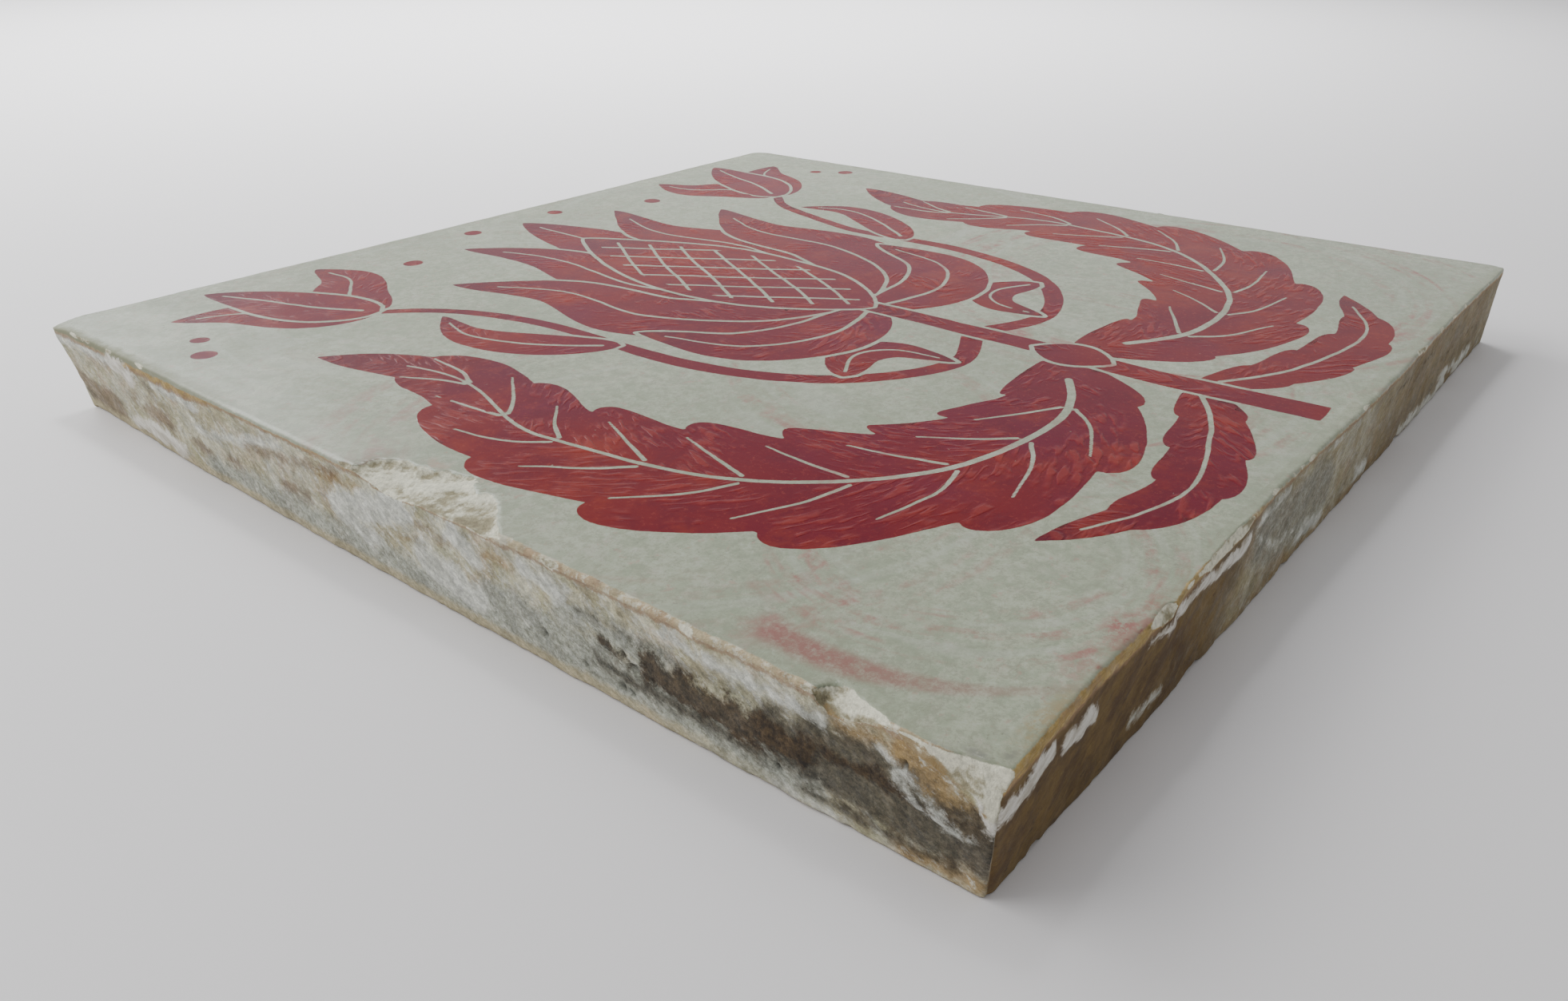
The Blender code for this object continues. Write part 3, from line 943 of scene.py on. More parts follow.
def face_points(shapes):
    """Grid over the face whose cells are split where the painting needs it."""
    levels = len(CELL_ERRORS)
    size = 2 ** levels
    finest = COARSE_STEP / size
    count = int((HIGH[0] - LOW[0]) / COARSE_STEP) + 1
    half = count * COARSE_STEP / 2
    grid = np.stack(np.meshgrid(np.arange(count), np.arange(count), indexing="ij"), -1).reshape(-1, 2)
    cells = grid * size
    taken = {tuple(place) for place in cells}
    stations = np.array([(0, 0), (2, 0), (2, 2), (0, 2), (1, 0), (2, 1), (1, 2), (0, 1), (1, 1)])
    for level, error in enumerate(CELL_ERRORS):
        span = size // 2 ** level
        spots = cells[:, None, :] + stations[None] * (span // 2)
        values = painted(spots.reshape(-1, 2) * finest - half, shapes).reshape(-1, 9)
        corners = values[:, :4]
        guess = np.column_stack([(corners + np.roll(corners, -1, axis=1)) / 2, corners.mean(1)])
        off = np.abs(values[:, 4:] - guess).max(1)
        split = (off > error) & (np.abs(values).min(1) < 0.6 * span * finest)
        taken.update(map(tuple, spots[split].reshape(-1, 2)))
        quarters = np.array([(0, 0), (1, 0), (0, 1), (1, 1)]) * (span // 2)
        cells = (cells[split][:, None, :] + quarters[None]).reshape(-1, 2)
    return np.array(sorted(taken)) * finest - half


def chip_points():
    """A fine grid over the part of the long chip that reaches into the face."""
    places = [place for place, _, _ in LONG_CHIP]
    y = np.arange(min(places) - 2.0, max(places) + 2.0, CHIP_STEP) + LOW[1]
    x = np.arange(BORDER + 0.2, 7.8, CHIP_STEP) + LOW[0]
    return np.stack(np.meshgrid(x, y, indexing="ij"), -1).reshape(-1, 2)


def loose_face_points(shapes, inner):
    """Points inside the border: the grid of the painting and that of the chip."""
    grid, chip = face_points(shapes), chip_points()
    low, high = chip.min(0) - 0.15, chip.max(0) + 0.15
    covered = ((grid > low) & (grid < high)).all(1)
    xy = np.vstack([grid[~covered], chip])
    ring = np.vstack([inner, inner[:1]])
    xy = xy[within(xy, inner)]
    return xy[path_gap(xy, ring) > 0.25]


def fill_loop(loop, inside):
    """Triangles over a closed loop and loose points, as indices into loop followed by inside."""
    everything = np.vstack([loop, inside])
    count = len(loop)
    edges = [(k, (k + 1) % count) for k in range(count)]
    coordinates = [Vector(place) for place in everything]
    _, _, faces, originals, _, _ = delaunay_2d_cdt(coordinates, edges, [], 1, 1e-5)
    source = [first[0] for first in originals]
    return np.array([[source[corner] for corner in triangle] for triangle in faces])


def ring_faces(rows, columns):
    row, column = np.meshgrid(np.arange(rows - 1), np.arange(columns), indexing="ij")
    after = (column + 1) % columns
    corners = (row * columns + column, (row + 1) * columns + column,
               (row + 1) * columns + after, row * columns + after)
    return np.stack(corners, -1).reshape(-1, 4)


def add_attribute(mesh, name, values):
    kind, field = ("FLOAT_VECTOR", "vector") if values.ndim == 2 else ("FLOAT", "value")
    store = mesh.attributes.new(name, kind, "POINT")
    store.data.foreach_set(field, values.astype(np.float32).ravel())


def underside_points():
    """Loose points over the underside, a little out of line."""
    steps = np.arange(-UNDERSIDE_REACH, UNDERSIDE_REACH + 0.1, UNDERSIDE_STEP)
    xy = np.stack(np.meshgrid(steps, steps, indexing="ij"), -1).reshape(-1, 2)
    return xy + np.column_stack([smooth_noise(flat_points(xy), 2.0, seed) for seed in (95, 96)])


def tile_faces(ring_count, inner, face_xy, under, under_xy):
    """Quads of the ring and triangles of the face and the underside."""
    columns = len(inner)
    last_row = ring_count - columns
    first_under = ring_count + len(face_xy)
    over = fill_loop(inner, face_xy)
    over = np.where(over < columns, over, over + last_row)
    below = fill_loop(under, under_xy)
    below = below + np.where(below < columns, last_row, first_under - columns)
    ring = ring_faces(ring_count // columns, columns)
    return ring.tolist() + over.tolist() + below[:, ::-1].tolist()


def damage(surface, fields, pits, fall):
    """Chips, breaks and wears the surface, and raises what sticks to its sides."""
    nicks = [nick for place in NICKS for nick in small_nicks(*place)]
    for chip in nicks + CHIPS:
        break_edge(surface, chip)
    chip_foot(surface, fall)
    shape_sides(surface, fields, pits)
    break_corner(surface)
    surface.points[:, 2] -= dip_of_face(surface.points) * (1.0 - smoothstep(0.0, 0.8, surface.down))


def build_tile():
    shapes = plant()
    loops = tile_loops()
    face, foot, inner, under, _ = loops
    ring = ring_surface(*loops)
    ring_count = len(ring.points)
    face_xy = loose_face_points(shapes, inner)
    surface = ring.joined(face_surface(face_xy, face))
    fall = np.hypot(np.linalg.norm(foot - face, axis=1), TOP)
    fall = np.concatenate([np.tile(fall, ring_count // len(face)), np.full(len(face_xy), TOP)])
    flat = surface.points[:, :2].copy()
    fields = side_marks(surface)
    pits = pit_depth(surface)
    damage(surface, fields, pits, fall)

    under_xy = underside_points()
    rise = UNDERSIDE_WAVES * (1.0 + rough_noise(flat_points(under_xy), 5.0, 98))
    points = np.clip(np.vstack([surface.points, np.column_stack([under_xy, rise])]), LOW, HIGH)
    mesh = bpy.data.meshes.new("glazed_tile")
    mesh.from_pydata((points * MM).tolist(), [], tile_faces(ring_count, inner, face_xy, under, under_xy))

    paint = painted(flat, shapes)
    flow = np.where((surface.down > 0.4)[:, None], smear_flow(surface), brush_flow(flat, shapes, paint))
    sides, along = surface.sides, surface.along
    past_edge = np.where(surface.inward > 0.0, -surface.inward, surface.down)
    past_glaze = past_edge - side_values(GLAZE_FALL, along, sides)
    slanted = along - CRUST_LEAN * surface.points[:, 2]
    # Each with the value that the underside's own points take
    attributes = {
        "paint": (paint, -FAR),
        "flow": (flow, 0.0),
        "beyond_glaze": (past_glaze, TOP),
        "beyond_rim": (past_glaze - side_values(RIM_WIDTH, along, sides), TOP),
        "crust": (side_values(CRUST, slanted, sides), 0.1),
        "soil": (side_values(SOIL, along, sides), 0.0),
        "rim_warmth": (side_values(RIM_WARMTH, along, sides), 0.0),
        "broken": (surface.broken, -1.0),
        "bed": (surface.bed, 0.0),
        "pit": (pits, 0.0),
    }
    attributes.update({kind: (field, -MARK_MARGIN) for kind, field in fields.items()})
    for name, (values, below) in attributes.items():
        rest = np.full((len(under_xy),) + values.shape[1:], below)
        add_attribute(mesh, name, np.concatenate([values, rest]))
    mesh.shade_smooth()
    tile = bpy.data.objects.new("glazed_tile", mesh)
    bpy.context.scene.collection.objects.link(tile)
    return tile


class Value:
    """A number, a place or a colour that varies over a material; sums with it make nodes."""

    def __init__(self, nodes, socket):
        self.nodes = nodes
        self.socket = socket

    def combined(self, operation, *others, output=0):
        kind = "ShaderNodeVectorMath" if self.socket.type == "VECTOR" else "ShaderNodeMath"
        return self.nodes.add(kind, dict(enumerate((self, *others))), output, operation=operation)

    def __add__(self, other):
        return self.combined("ADD", other)

    def __sub__(self, other):
        return self.combined("SUBTRACT", other)

    def __rsub__(self, other):
        return self.nodes.add("ShaderNodeMath", {0: other, 1: self}, operation="SUBTRACT")

    def __mul__(self, other):
        return self.combined("MULTIPLY", other)

    def __abs__(self):
        return self.combined("ABSOLUTE")

    def part(self, axis):
        return self.nodes.add("ShaderNodeSeparateXYZ", {0: self}, axis)

    def flat_from(self, centre):
        """Offset from a centre in the plane of the face, and its length."""
        off = (self - (*centre, 0.0)) * (1.0, 1.0, 0.0)
        return off, off.combined("LENGTH", output="Value")

    def noise(self, grain, detail=3.0, roughness=0.55, distortion=0.0):
        """Noise at this place with bumps about one grain across, near one half on average."""
        inputs = {"Vector": self, "Scale": 1.0 / grain, "Detail": detail, "Roughness": roughness,
                  "Distortion": distortion}
        return self.nodes.add("ShaderNodeTexNoise", inputs, "Fac")

    def ramp(self, low, high, start=0.0, end=1.0):
        """Smooth step from start to end as the value goes from low to high."""
        inputs = {"Value": self, "From Min": low, "From Max": high, "To Min": start, "To Max": end}
        return self.nodes.add("ShaderNodeMapRange", inputs, "Result", interpolation_type="SMOOTHSTEP")

    def shade(self, low, high, first, second):
        """Colour from first to second as the value goes from low to high."""
        return self.nodes.mix(self.ramp(low, high), srgb(*first), srgb(*second))

    def mixed(self, amount, other, blend="MIX"):
        return self.nodes.mix(amount, self, other, blend)

    def tinted(self, field, low, high, strength, tone):
        """This colour with a tone laid over it as a field goes from low to high."""
        return self.mixed(field.ramp(low, high, 0.0, strength), srgb(*tone))


class Nodes:
    """Short names for adding and linking the nodes of a tree."""

    def __init__(self, tree):
        self.tree = tree

    def feed(self, socket, value):
        if isinstance(value, Value):
            self.tree.links.new(value.socket, socket)
        elif isinstance(value, tuple) and len(value) == 3 and socket.type == "RGBA":
            socket.default_value = (*value, 1.0)
        else:
            socket.default_value = value

    def add(self, kind, inputs, output=0, **settings):
        """Output of a new node with these settings and inputs."""
        node = self.tree.nodes.new(kind)
        for name, value in settings.items():
            setattr(node, name, value)
        for key, value in inputs.items():
            self.feed(node.inputs[key], value)
        return Value(self, node.outputs[output])

    def read(self, name, output="Fac"):
        return self.add("ShaderNodeAttribute", {}, output, attribute_name=name)

    def place(self):
        """Object coordinates in millimetres."""
        return self.add("ShaderNodeTexCoord", {}, "Object") * ((1 / MM,) * 3)

    def mix(self, amount, first, second, blend="MIX"):
        inputs = {0: amount, 6: first, 7: second}
        return self.add("ShaderNodeMix", inputs, 2, data_type="RGBA", blend_type=blend)

    def between(self, share, first, second):
        return self.add("ShaderNodeMix", {0: share, 2: first, 3: second}, data_type="FLOAT")


def srgb(red, green, blue):
    """Linear colour of an sRGB value from 0 to 255."""
    return tuple((c / 12.92) if c <= 0.04045 else ((c + 0.055) / 1.055) ** 2.4
                 for c in (red / 255, green / 255, blue / 255))


def tinted_all(colour, tones):
    for tone in tones:
        colour = colour.tinted(*tone)
    return colour


def ground_colour(place):
    """Off-white glaze with a soft mottle, fine threads and specks."""
    base = place.noise(16.0, 4.0).shade(0.36, 0.66, (150, 157, 134), (163, 168, 146))
    patches = place.noise(3.2, 5.0, 0.75)
    mottle = place.noise(0.9, 5.0, 0.8)
    cells = place.noise(1.9, 3.0, 0.6)
    flecks = (place + (30.0, 60.0, 0.0)).noise(1.3, 4.0, 0.7)
    threads = abs(place.noise(5.0, 3.0, 0.6, 1.6) - 0.5)
    specks = place.noise(0.5, 3.0, 0.7)
    return tinted_all(base, (
        (patches, 0.50, 0.66, 0.35, (166, 158, 146)),
        (patches, 0.48, 0.34, 0.45, (142, 150, 124)),
        (mottle, 0.46, 0.60, 0.60, (130, 134, 112)),
        (mottle, 0.46, 0.34, 0.45, (178, 182, 166)),
        (cells, 0.48, 0.62, 0.50, (136, 145, 120)),
        (flecks, 0.60, 0.70, 0.50, (166, 128, 116)),
        (threads, 0.012, 0.002, 0.35, (128, 128, 108)),
        (specks, 0.64, 0.72, 0.55, (112, 108, 92)),
    ))


# Arcs of pink lustre left by wiping: centre, radius, half-width, grain and strength
WIPES = [
    ((-48, -20), 36.0, 8.0, 3.2, 0.34),
    ((-48, -56), 17.0, 6.0, 1.8, 0.55),
    ((-6, -36), 32.0, 9.0, 2.4, 0.50),
    ((40, -40), 36.0, 12.0, 2.6, 0.68),
    ((-30, 40), 34.0, 16.0, 2.8, 0.08),
    ((30, 30), 40.0, 16.0, 2.8, 0.07),
]
# The strongest smear: centre and radius of its arc
SMEAR_CENTRE = (-48.0, -56.0)
SMEAR_RADIUS = 24.0


def wipe_marks(place, centre, radius, width, grain):
    """Streaks of a wiping cloth around a centre, fine across the arc and long along it, and their reach."""
    off, away = place.flat_from(centre)
    turn = off.part("Y").combined("ARCTAN2", off.part("X")) * 2.2
    polar = place.nodes.add("ShaderNodeCombineXYZ", {"X": away, "Y": turn})
    return polar.noise(grain, 2.0, 0.6), abs(away - radius).ramp(width, width * 0.4)


def residue(place, colour):
    """Pink lustre left by wiping, in arcs near the lower edge, and paler rubbed lines in the ground."""
    broken_up = place.noise(3.4, 6.0, 0.75).ramp(0.42, 0.62, 0.05, 1.3)
    for centre, radius, width, grain, strength in WIPES:
        streak, window = wipe_marks(place, centre, radius, width, grain)
        colour = colour.mixed(streak.ramp(0.50, 0.66) * window * broken_up * strength, srgb(150, 88, 82))
        colour = colour.mixed(streak.ramp(0.48, 0.34) * window * 0.25, srgb(176, 178, 166))
    _, away = place.flat_from(SMEAR_CENTRE)
    across, up = place.part("X"), place.part("Y")
    width = up.ramp(-74.0, -56.0, 0.7, 2.1)
    window = abs(away - SMEAR_RADIUS).combined("DIVIDE", width).ramp(1.1, 0.3)
    start = up.ramp(-49.0, -52.0) * across.ramp(-58.0, -66.0)
    fade = up.ramp(-74.0, -57.0, 0.25, 0.75)
    grainy = place.noise(0.9, 4.0, 0.75).ramp(0.30, 0.60, 0.45, 1.0)
    return colour.mixed(window * start * fade * grainy, srgb(138, 66, 66))


def lustre_colour(place, tips):
    """Ruby lustre that turns to copper and violet, darker at the tips."""
    colour = place.noise(30.0, 2.0).shade(0.40, 0.62, (104, 12, 32), (116, 24, 26))
    violet = (place + (50.0, 20.0, 0.0)).noise(22.0)
    copper = (place + (12.0, 44.0, 0.0)).noise(9.0, 5.0, 0.7)
    colour = colour.tinted(violet, 0.50, 0.72, 0.75, (100, 20, 46)).mixed(tips * 0.75, srgb(84, 14, 34))
    return tinted_all(colour, (
        (place.noise(5.0, 5.0, 0.7), 0.44, 0.66, 0.50, (92, 8, 32)),
        (copper, 0.50, 0.68, 0.38, (144, 52, 32)),
        (place.noise(0.6, 4.0, 0.8), 0.54, 0.70, 0.40, (150, 64, 52)),
    ))


def stroke_ridges(place, flow):
    """Short raised brush strokes that stand in patches along the flow of each shape."""
    fine = (flow * (0.30, 1.0, 0.0)).noise(0.85, 1.0, 0.4, 0.5)
    return fine.ramp(0.44, 0.66) * place.noise(8.0, 3.0, 0.6).ramp(0.46, 0.58, 0.04, 1.0)


def drawn_out(flow, share):
    """Places drawn out along the smears: the lower the share, the longer the marks."""
    return flow * (share, 1.0, 1.0)


def clay_colour(place, flow):
    """Fired clay in grey, tan and pinkish patches with a dusting of lime."""
    base = place.noise(5.5, 5.0, 0.65).shade(0.38, 0.62, (170, 162, 132), (194, 191, 168))
    return tinted_all(base, (
        ((place + (9.0, 30.0, 4.0)).noise(5.0, 5.0, 0.65), 0.50, 0.64, 0.50, (186, 164, 144)),
        ((place + (40.0, 3.0, 14.0)).noise(4.0, 5.0, 0.65), 0.50, 0.64, 0.50, (168, 166, 128)),
        (drawn_out(flow, 0.45).noise(1.2, 6.0, 0.75), 0.50, 0.64, 0.75, (208, 208, 197)),
    ))


def grained(place, flow, colour):
    """Uneven tone in patches and in grains of sand, drawn out along the smears."""
    patches = drawn_out(flow, 0.6).noise(2.4, 6.0, 0.75).ramp(0.36, 0.64, 0.78, 1.18)
    sand = drawn_out(flow, 0.55) + place * (0.15, 0.15, 0.15)
    grains = sand.noise(0.45, 4.0, 0.85).ramp(0.34, 0.66, 0.72, 1.22)
    return colour.mixed(1.0, patches * grains, "MULTIPLY")


def side_fray(place, flow):
    """Unevenness of the limits of what sticks to the sides."""
    wisp = drawn_out(flow, 0.45).noise(1.5, 6.0, 0.75) - 0.5
    crumb = place.noise(1.8, 6.0, 0.8) - 0.5
    return wisp * 3.2 + crumb * 3.2


def side_colour(nodes, place, flow, fray):
    """Clay with the kinds of dirt that stick to it, one over the other, and painted shade at the foot, in
    the pits and in some dark marks.
    """
    speckle = place.noise(0.7, 6.0, 0.8)
    streak = drawn_out(flow, 0.3).noise(1.2, 5.0, 0.7)
    flecks = drawn_out(flow, 0.5).noise(1.0, 5.0, 0.8)
    broad = drawn_out(flow, 0.45).noise(3.0, 6.0, 0.75)
    specks = drawn_out(flow, 0.5).noise(1.3, 5.0, 0.8)
    crust = nodes.read("crust")
    height = place.part("Z")

    def mark(kind, low, high, strength):
        return (nodes.read(kind) + fray).ramp(low, high, 0.0, strength)

    colour = clay_colour(place, flow)
    colour = colour.mixed(mark("ochre", -0.6, 1.5, 0.85), srgb(156, 126, 76))
    cement = speckle.shade(0.34, 0.66, (128, 132, 120), (184, 188, 178))
    colour = colour.mixed(mark("cement", -0.9, 0.9, 0.80), cement)
    colour = colour.tinted(flecks, 0.56, 0.64, 0.65, (214, 214, 203))
    colour = colour.tinted(flecks, 0.43, 0.35, 0.50, (104, 100, 84))
    # Brown stains, and painted shade low at the far end of the left side.
    colour = colour.mixed(mark("stain_and_shade", -0.5, 1.0, 0.66), srgb(114, 90, 68))
    # Dark grime, with painted shade in the wide marks near the broken corner.
    grime_and_shade = speckle.shade(0.34, 0.66, (36, 31, 24), (92, 84, 68))
    colour = colour.mixed(mark("grime_and_shade", -1.0, 1.1, 0.90), grime_and_shade)

    brown = broad.shade(0.38, 0.62, (86, 63, 38), (116, 92, 50))
    brown = brown.tinted(specks, 0.58, 0.68, 0.7, (50, 34, 26))
    brown = brown.tinted(specks, 0.40, 0.32, 0.5, (142, 122, 70))
    thick = (crust + fray * 0.12).combined("MAXIMUM", 0.0).combined("MINIMUM", 0.96)
    colour = colour.mixed(thick, brown)
    umber = speckle.shade(0.34, 0.66, (36, 26, 16), (84, 66, 42))
    colour = colour.mixed(mark("umber", -0.5, 0.6, 0.92), umber)
    chalk = streak.shade(0.38, 0.62, (192, 193, 182), (218, 219, 210))
    colour = colour.mixed(mark("plaster", -0.5, 0.7, 0.92), chalk)

    foot = (height + fray * 0.3).ramp(1.9, 1.0, 0.0, 0.8)
    clean = (1.0 - crust * 0.7) * place.part("Y").ramp(-62.0, -32.0, 0.1, 1.0)
    colour = colour.mixed(foot * clean, srgb(184, 172, 138))
    # Painted contact shadow: the lowest 0.35 mm of the side turns darker brown where it meets the floor.
    colour = colour.tinted(height, 0.35, 0.10, 0.7, (116, 100, 76))
    colour = grained(place, flow, colour).mixed(crust * 0.65, colour)
    # Painted shade: the pits are darkened almost to black, as shade inside them.
    return colour.mixed(nodes.read("pit"), srgb(30, 26, 20))


def lime_over(nodes, flow, fray, colour):
    """Patches of white lime over the clay and the end of the glaze."""
    white = drawn_out(flow, 0.4).noise(1.3, 5.0, 0.75).shade(0.34, 0.62, (186, 179, 164), (234, 231, 222))
    return colour.mixed((nodes.read("lime") + fray * 0.7).ramp(-0.25, 0.40, 0.0, 0.92), white)


def bed_colour(nodes, place):
    """Cream body of the clay in the broken places, with painted shade in grey and brown in its hollows."""
    bed = nodes.read("bed") + (place.noise(0.9, 5.0, 0.7) - 0.5) * 1.6
    # Painted shade: the bed turns grey, then brown, where it sinks deeper between its ridges.
    cream = bed.shade(-0.50, 0.10, (156, 148, 120), (226, 223, 200))
    cream = cream.tinted(bed, -0.50, -0.85, 0.6, (116, 104, 82))
    return cream.mixed(1.0, place.noise(0.5, 4.0, 0.8).ramp(0.34, 0.66, 0.80, 1.12), "MULTIPLY")


def rim_colour(nodes, place, flow):
    """Cream, pinkish or ochre line where the glaze ends, crumbly in places."""
    warmth = nodes.read("rim_warmth")
    warm = nodes.mix(warmth, srgb(182, 170, 142), srgb(172, 145, 86))
    warm = warm.tinted(place.noise(2.6, 5.0, 0.7), 0.46, 0.62, 0.6, (162, 132, 102))
    pale = place.noise(1.6, 6.0, 0.8).ramp(0.48, 0.58, 0.0, 0.85) * warmth.ramp(0.2, 0.9, 1.0, 0.15)
    return grained(place, flow, warm.mixed(pale, srgb(208, 204, 184)))


# Stains on the face, and painted shade along the edge of the broken corner: centre, radii, colour and
# strength
STAINS_AND_SHADE = [
    ((-74.2, 1.6), (1.9, 1.6), (120, 112, 92), 0.55),
    ((-70.6, 0.8), (1.4, 1.0), (132, 124, 104), 0.35),
    ((-69.8, -5.0), (1.2, 2.2), (168, 142, 122), 0.40),
    ((-68.6, -12.0), (1.2, 2.0), (168, 142, 122), 0.30),
    ((-68.0, -74.4), (4.6, 1.1), (150, 124, 80), 0.50),
    # Painted shade: these three grey marks lie along the edge of the broken corner.
    ((-74.4, -72.6), (0.45, 1.3), (112, 112, 104), 0.55),
    ((-73.2, -74.4), (1.1, 0.5), (112, 112, 104), 0.50),
    ((-75.4, -70.2), (0.4, 1.2), (120, 118, 108), 0.40),
    ((-53.6, -73.4), (2.4, 1.5), (146, 72, 70), 0.60),
    ((-49.0, -74.0), (2.6, 0.8), (150, 84, 78), 0.50),
    ((-60.0, -73.2), (4.0, 1.4), (152, 92, 86), 0.35),
    ((-53.5, -75.0), (0.7, 0.4), (126, 44, 42), 0.60),
    ((-55.4, -74.5), (0.4, 0.3), (134, 56, 54), 0.60),
    ((-60.0, -74.5), (0.4, 0.3), (134, 56, 54), 0.60),
    ((-65.7, -73.1), (0.5, 0.3), (134, 56, 54), 0.55),
]


def stains_and_shade(place, colour):
    fray = (place.noise(0.9, 4.0, 0.7) - 0.5) * 1.6
    speckled = place.noise(1.1, 5.0, 0.75).ramp(0.42, 0.56, 0.25, 1.35)
    for centre, radii, tone, strength in STAINS_AND_SHADE:
        off = (place - (*centre, 0.0)) * (1.0 / radii[0], 1.0 / radii[1], 0.0)
        away = off.combined("LENGTH", output="Value") + fray
        colour = colour.mixed(away.ramp(1.4, 0.2, 0.0, strength) * speckled, srgb(*tone))
    return colour


# Heights of the brush strokes, of the skin of the glaze and of the grit, in millimetres
STROKE_RELIEF = 0.055
GLAZE_RELIEF = 0.012
GRIT_RELIEF = 0.24


def tile_material():
    material = bpy.data.materials.new("glazed_tile")
    material.use_nodes = True
    nodes = Nodes(material.node_tree)
    inputs = nodes.tree.nodes["Principled BSDF"].inputs
    place = nodes.place()
    flow = nodes.read("flow", "Vector")
    fray = side_fray(place, flow)
    crust = nodes.read("crust")

    # Face: ground, residue and lustre
    ground = stains_and_shade(place, residue(place, ground_colour(place)))
    waver = (place.noise(0.5, 2.0) - 0.5) * 0.10
    scuffs = place.noise(1.3, 4.0, 0.7).ramp(0.70, 0.76, 1.0, 0.5)
    painted_here = (nodes.read("paint") + waver).ramp(-0.06, 0.06) * scuffs
    ridges = stroke_ridges(place, flow)
    ruby = lustre_colour(place, flow.part("Z")).mixed(ridges * 0.35, srgb(156, 62, 50))
    face = ground.mixed(painted_here, ruby)

    # Sides, the end of the glaze and broken places
    beyond_glaze = nodes.read("beyond_glaze") + fray * 0.40
    beyond_rim = nodes.read("beyond_rim") + fray * 0.45
    glaze_end = beyond_glaze.ramp(-0.15, 0.15)
    soiled = (beyond_glaze + fray).ramp(-4.5, -0.8) * nodes.read("soil")
    colour = face.mixed(soiled, srgb(118, 118, 88))
    colour = colour.mixed(glaze_end, rim_colour(nodes, place, flow))
    colour = colour.mixed(beyond_rim.ramp(-0.30, 0.30), side_colour(nodes, place, flow, fray))
    colour = colour.tinted(abs(beyond_rim), 0.40, 0.05, 0.60, (138, 108, 84))
    colour = lime_over(nodes, flow, fray, colour)
    broken = (nodes.read("broken") + fray * 0.25).ramp(-0.08, 0.10)
    golden = (nodes.read("ochre") + fray).ramp(-0.1, 0.7, 0.0, 0.85)
    colour = colour.mixed(broken, bed_colour(nodes, place).mixed(golden, srgb(146, 120, 76)))
    nodes.feed(inputs["Base Color"], colour)

    bare = glaze_end.combined("MAXIMUM", broken)
    smooth = place.noise(8.0, 4.0).ramp(0.35, 0.65, 0.20, 0.28) + soiled * 0.5
    nodes.feed(inputs["Roughness"], nodes.between(bare, smooth, 0.9))
    nodes.feed(inputs["IOR"], 1.5)
    nodes.feed(inputs["Specular IOR Level"], nodes.between(painted_here, 0.5, 0.10))

    relief = ridges * painted_here * STROKE_RELIEF + (place.noise(0.9) - 0.5) * GLAZE_RELIEF
    grit = (place.noise(0.6, 4.0, 0.8) - 0.5) * (GRIT_RELIEF - crust * 0.14)
    height = nodes.between(bare, relief, grit)
    bump = nodes.add("ShaderNodeBump", {"Distance": MM, "Strength": 1.0, "Height": height}, "Normal")
    nodes.feed(inputs["Normal"], bump)
    return material


def floor_material():
    material = bpy.data.materials.new("floor")
    material.use_nodes = True
    inputs = material.node_tree.nodes["Principled BSDF"].inputs
    inputs["Base Color"].default_value = (*srgb(231, 228, 228), 1.0)
    inputs["Roughness"].default_value = 0.6
    return material


FLOOR_SIZE = 6.0


def add_floor():
    bpy.ops.mesh.primitive_plane_add(size=FLOOR_SIZE)
    floor = bpy.context.object
    floor.name = "floor"
    floor.data.materials.append(floor_material())


def add_lamp(name, kind, place, target, power, **settings):
    light = bpy.data.lights.new(name, kind)
    light.energy = power
    for setting, value in settings.items():
        setattr(light, setting, value)
    lamp = bpy.data.objects.new(name, light)
    lamp.location = place
    lamp.rotation_euler = (Vector(target) - Vector(place)).to_track_quat("-Z", "Y").to_euler()
    bpy.context.scene.collection.objects.link(lamp)


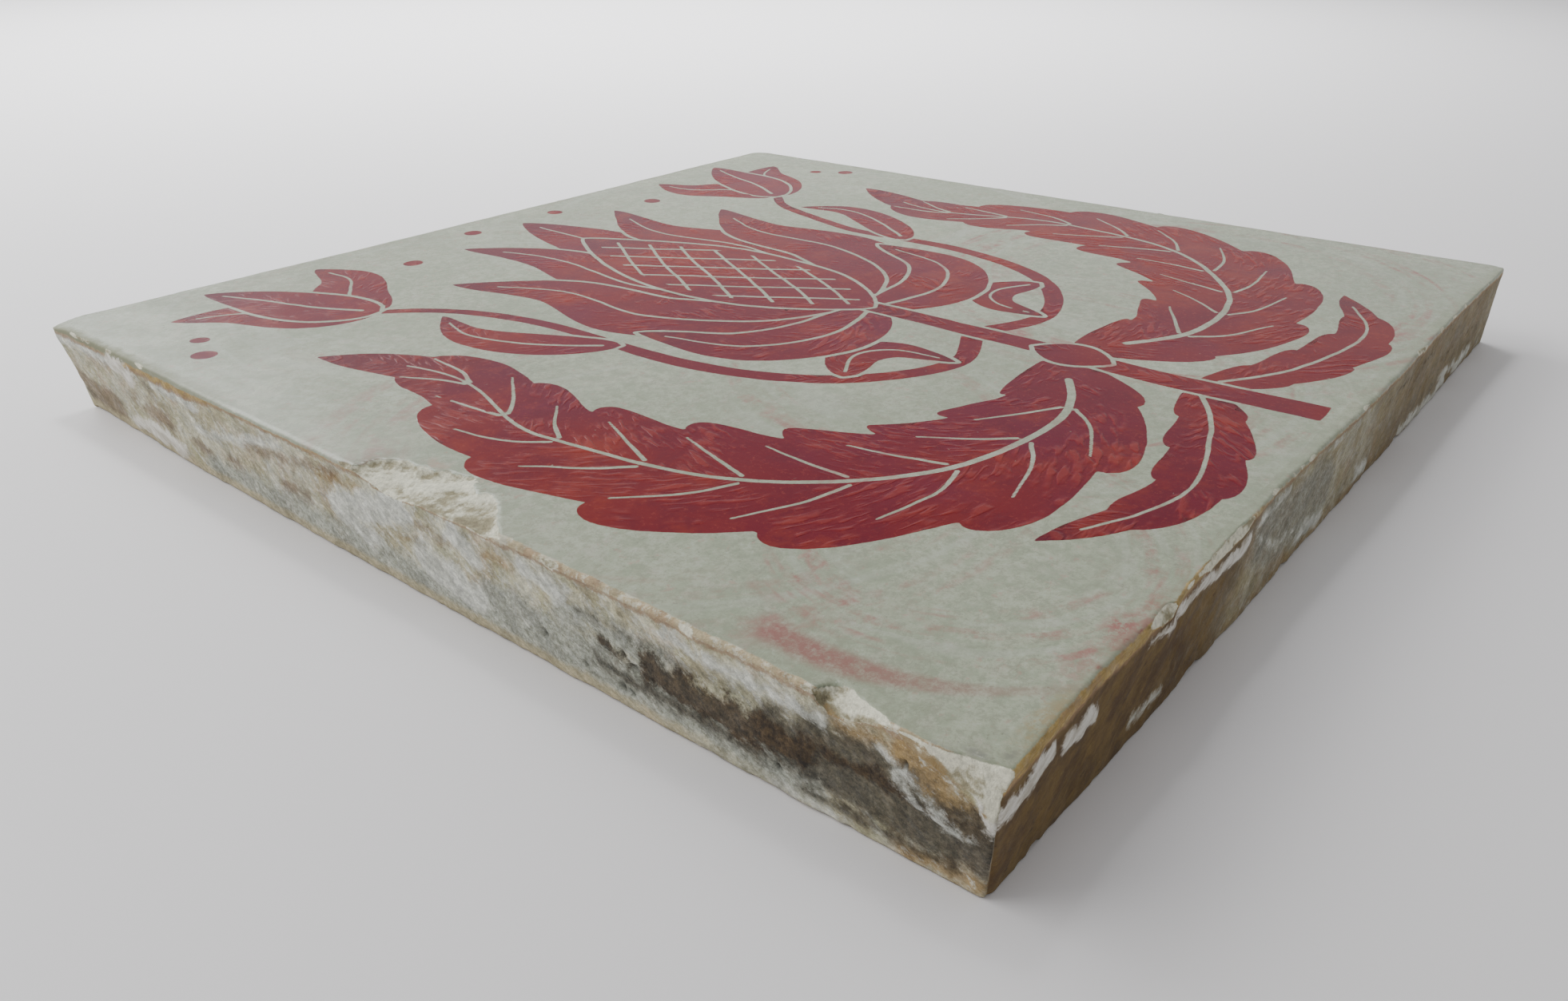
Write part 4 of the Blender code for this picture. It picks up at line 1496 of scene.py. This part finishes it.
def light_scene():
    """Pale surroundings, brighter behind the tile, a window and a soft light on the far floor."""
    world = bpy.data.worlds.new("studio")
    bpy.context.scene.world = world
    world.use_nodes = True
    nodes = Nodes(world.node_tree)
    background = nodes.tree.nodes["Background"].inputs
    nodes.feed(background["Color"], (0.968, 0.982, 1.0))
    behind = (0.17, 0.985, 0.0)
    view = nodes.add("ShaderNodeTexCoord", {}, "Generated")
    towards = view.combined("DOT_PRODUCT", behind, output="Value")
    limits = {"Value": towards, "From Min": -1.0, "From Max": 1.0, "To Min": 0.34, "To Max": 0.89}
    nodes.feed(background["Strength"], nodes.add("ShaderNodeMapRange", limits, "Result"))
    cool = (0.96, 0.98, 1.0)
    add_lamp("window", "AREA", (-0.42, 0.48, 0.5), (-0.1, 0.1, 0.0), 3.2, shape="DISK", size=0.6)
    add_lamp("back", "AREA", (0.1, 1.05, 0.6), (0.3, 0.7, 0.0), 8.6, shape="DISK", size=0.9, color=cool)
    add_lamp("far_floor", "SPOT", (0.38, 0.44, 1.0), (0.38, 0.44, 0.0), 112.0, color=cool,
             spot_size=math.radians(69), spot_blend=1.0, shadow_soft_size=0.15)


# Camera fitted to the tile's corners in the photograph
CAMERA_AZIMUTH = -50.27
CAMERA_ELEVATION = 27.43
CAMERA_ROLL = -0.59
CAMERA_DISTANCE = 140.3
CAMERA_TARGET = (-35.7, -23.4, 0.0)
CAMERA_LENS = 27.01
CAMERA_SENSOR = 36.0


def add_camera():
    turn, tilt, roll = (math.radians(angle) for angle in (CAMERA_AZIMUTH, CAMERA_ELEVATION, CAMERA_ROLL))
    back = Vector((math.cos(tilt) * math.sin(turn), -math.cos(tilt) * math.cos(turn), math.sin(tilt)))
    level = Vector((math.cos(turn), math.sin(turn), 0.0))
    right = level * math.cos(roll) + back.cross(level) * math.sin(roll)
    camera = bpy.data.cameras.new("camera")
    camera.sensor_fit = "HORIZONTAL"
    camera.sensor_width = CAMERA_SENSOR
    camera.lens = CAMERA_LENS
    camera.clip_start = 0.01
    holder = bpy.data.objects.new("camera", camera)
    place = (Vector(CAMERA_TARGET) + back * CAMERA_DISTANCE) * MM
    turned = Matrix((right, back.cross(right), back)).transposed().to_4x4()
    holder.matrix_world = Matrix.Translation(place) @ turned
    bpy.context.scene.collection.objects.link(holder)
    bpy.context.scene.camera = holder


tile = build_tile()
tile.data.materials.append(tile_material())
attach(tile, "root")
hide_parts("tile")
add_floor()
light_scene()
add_camera()
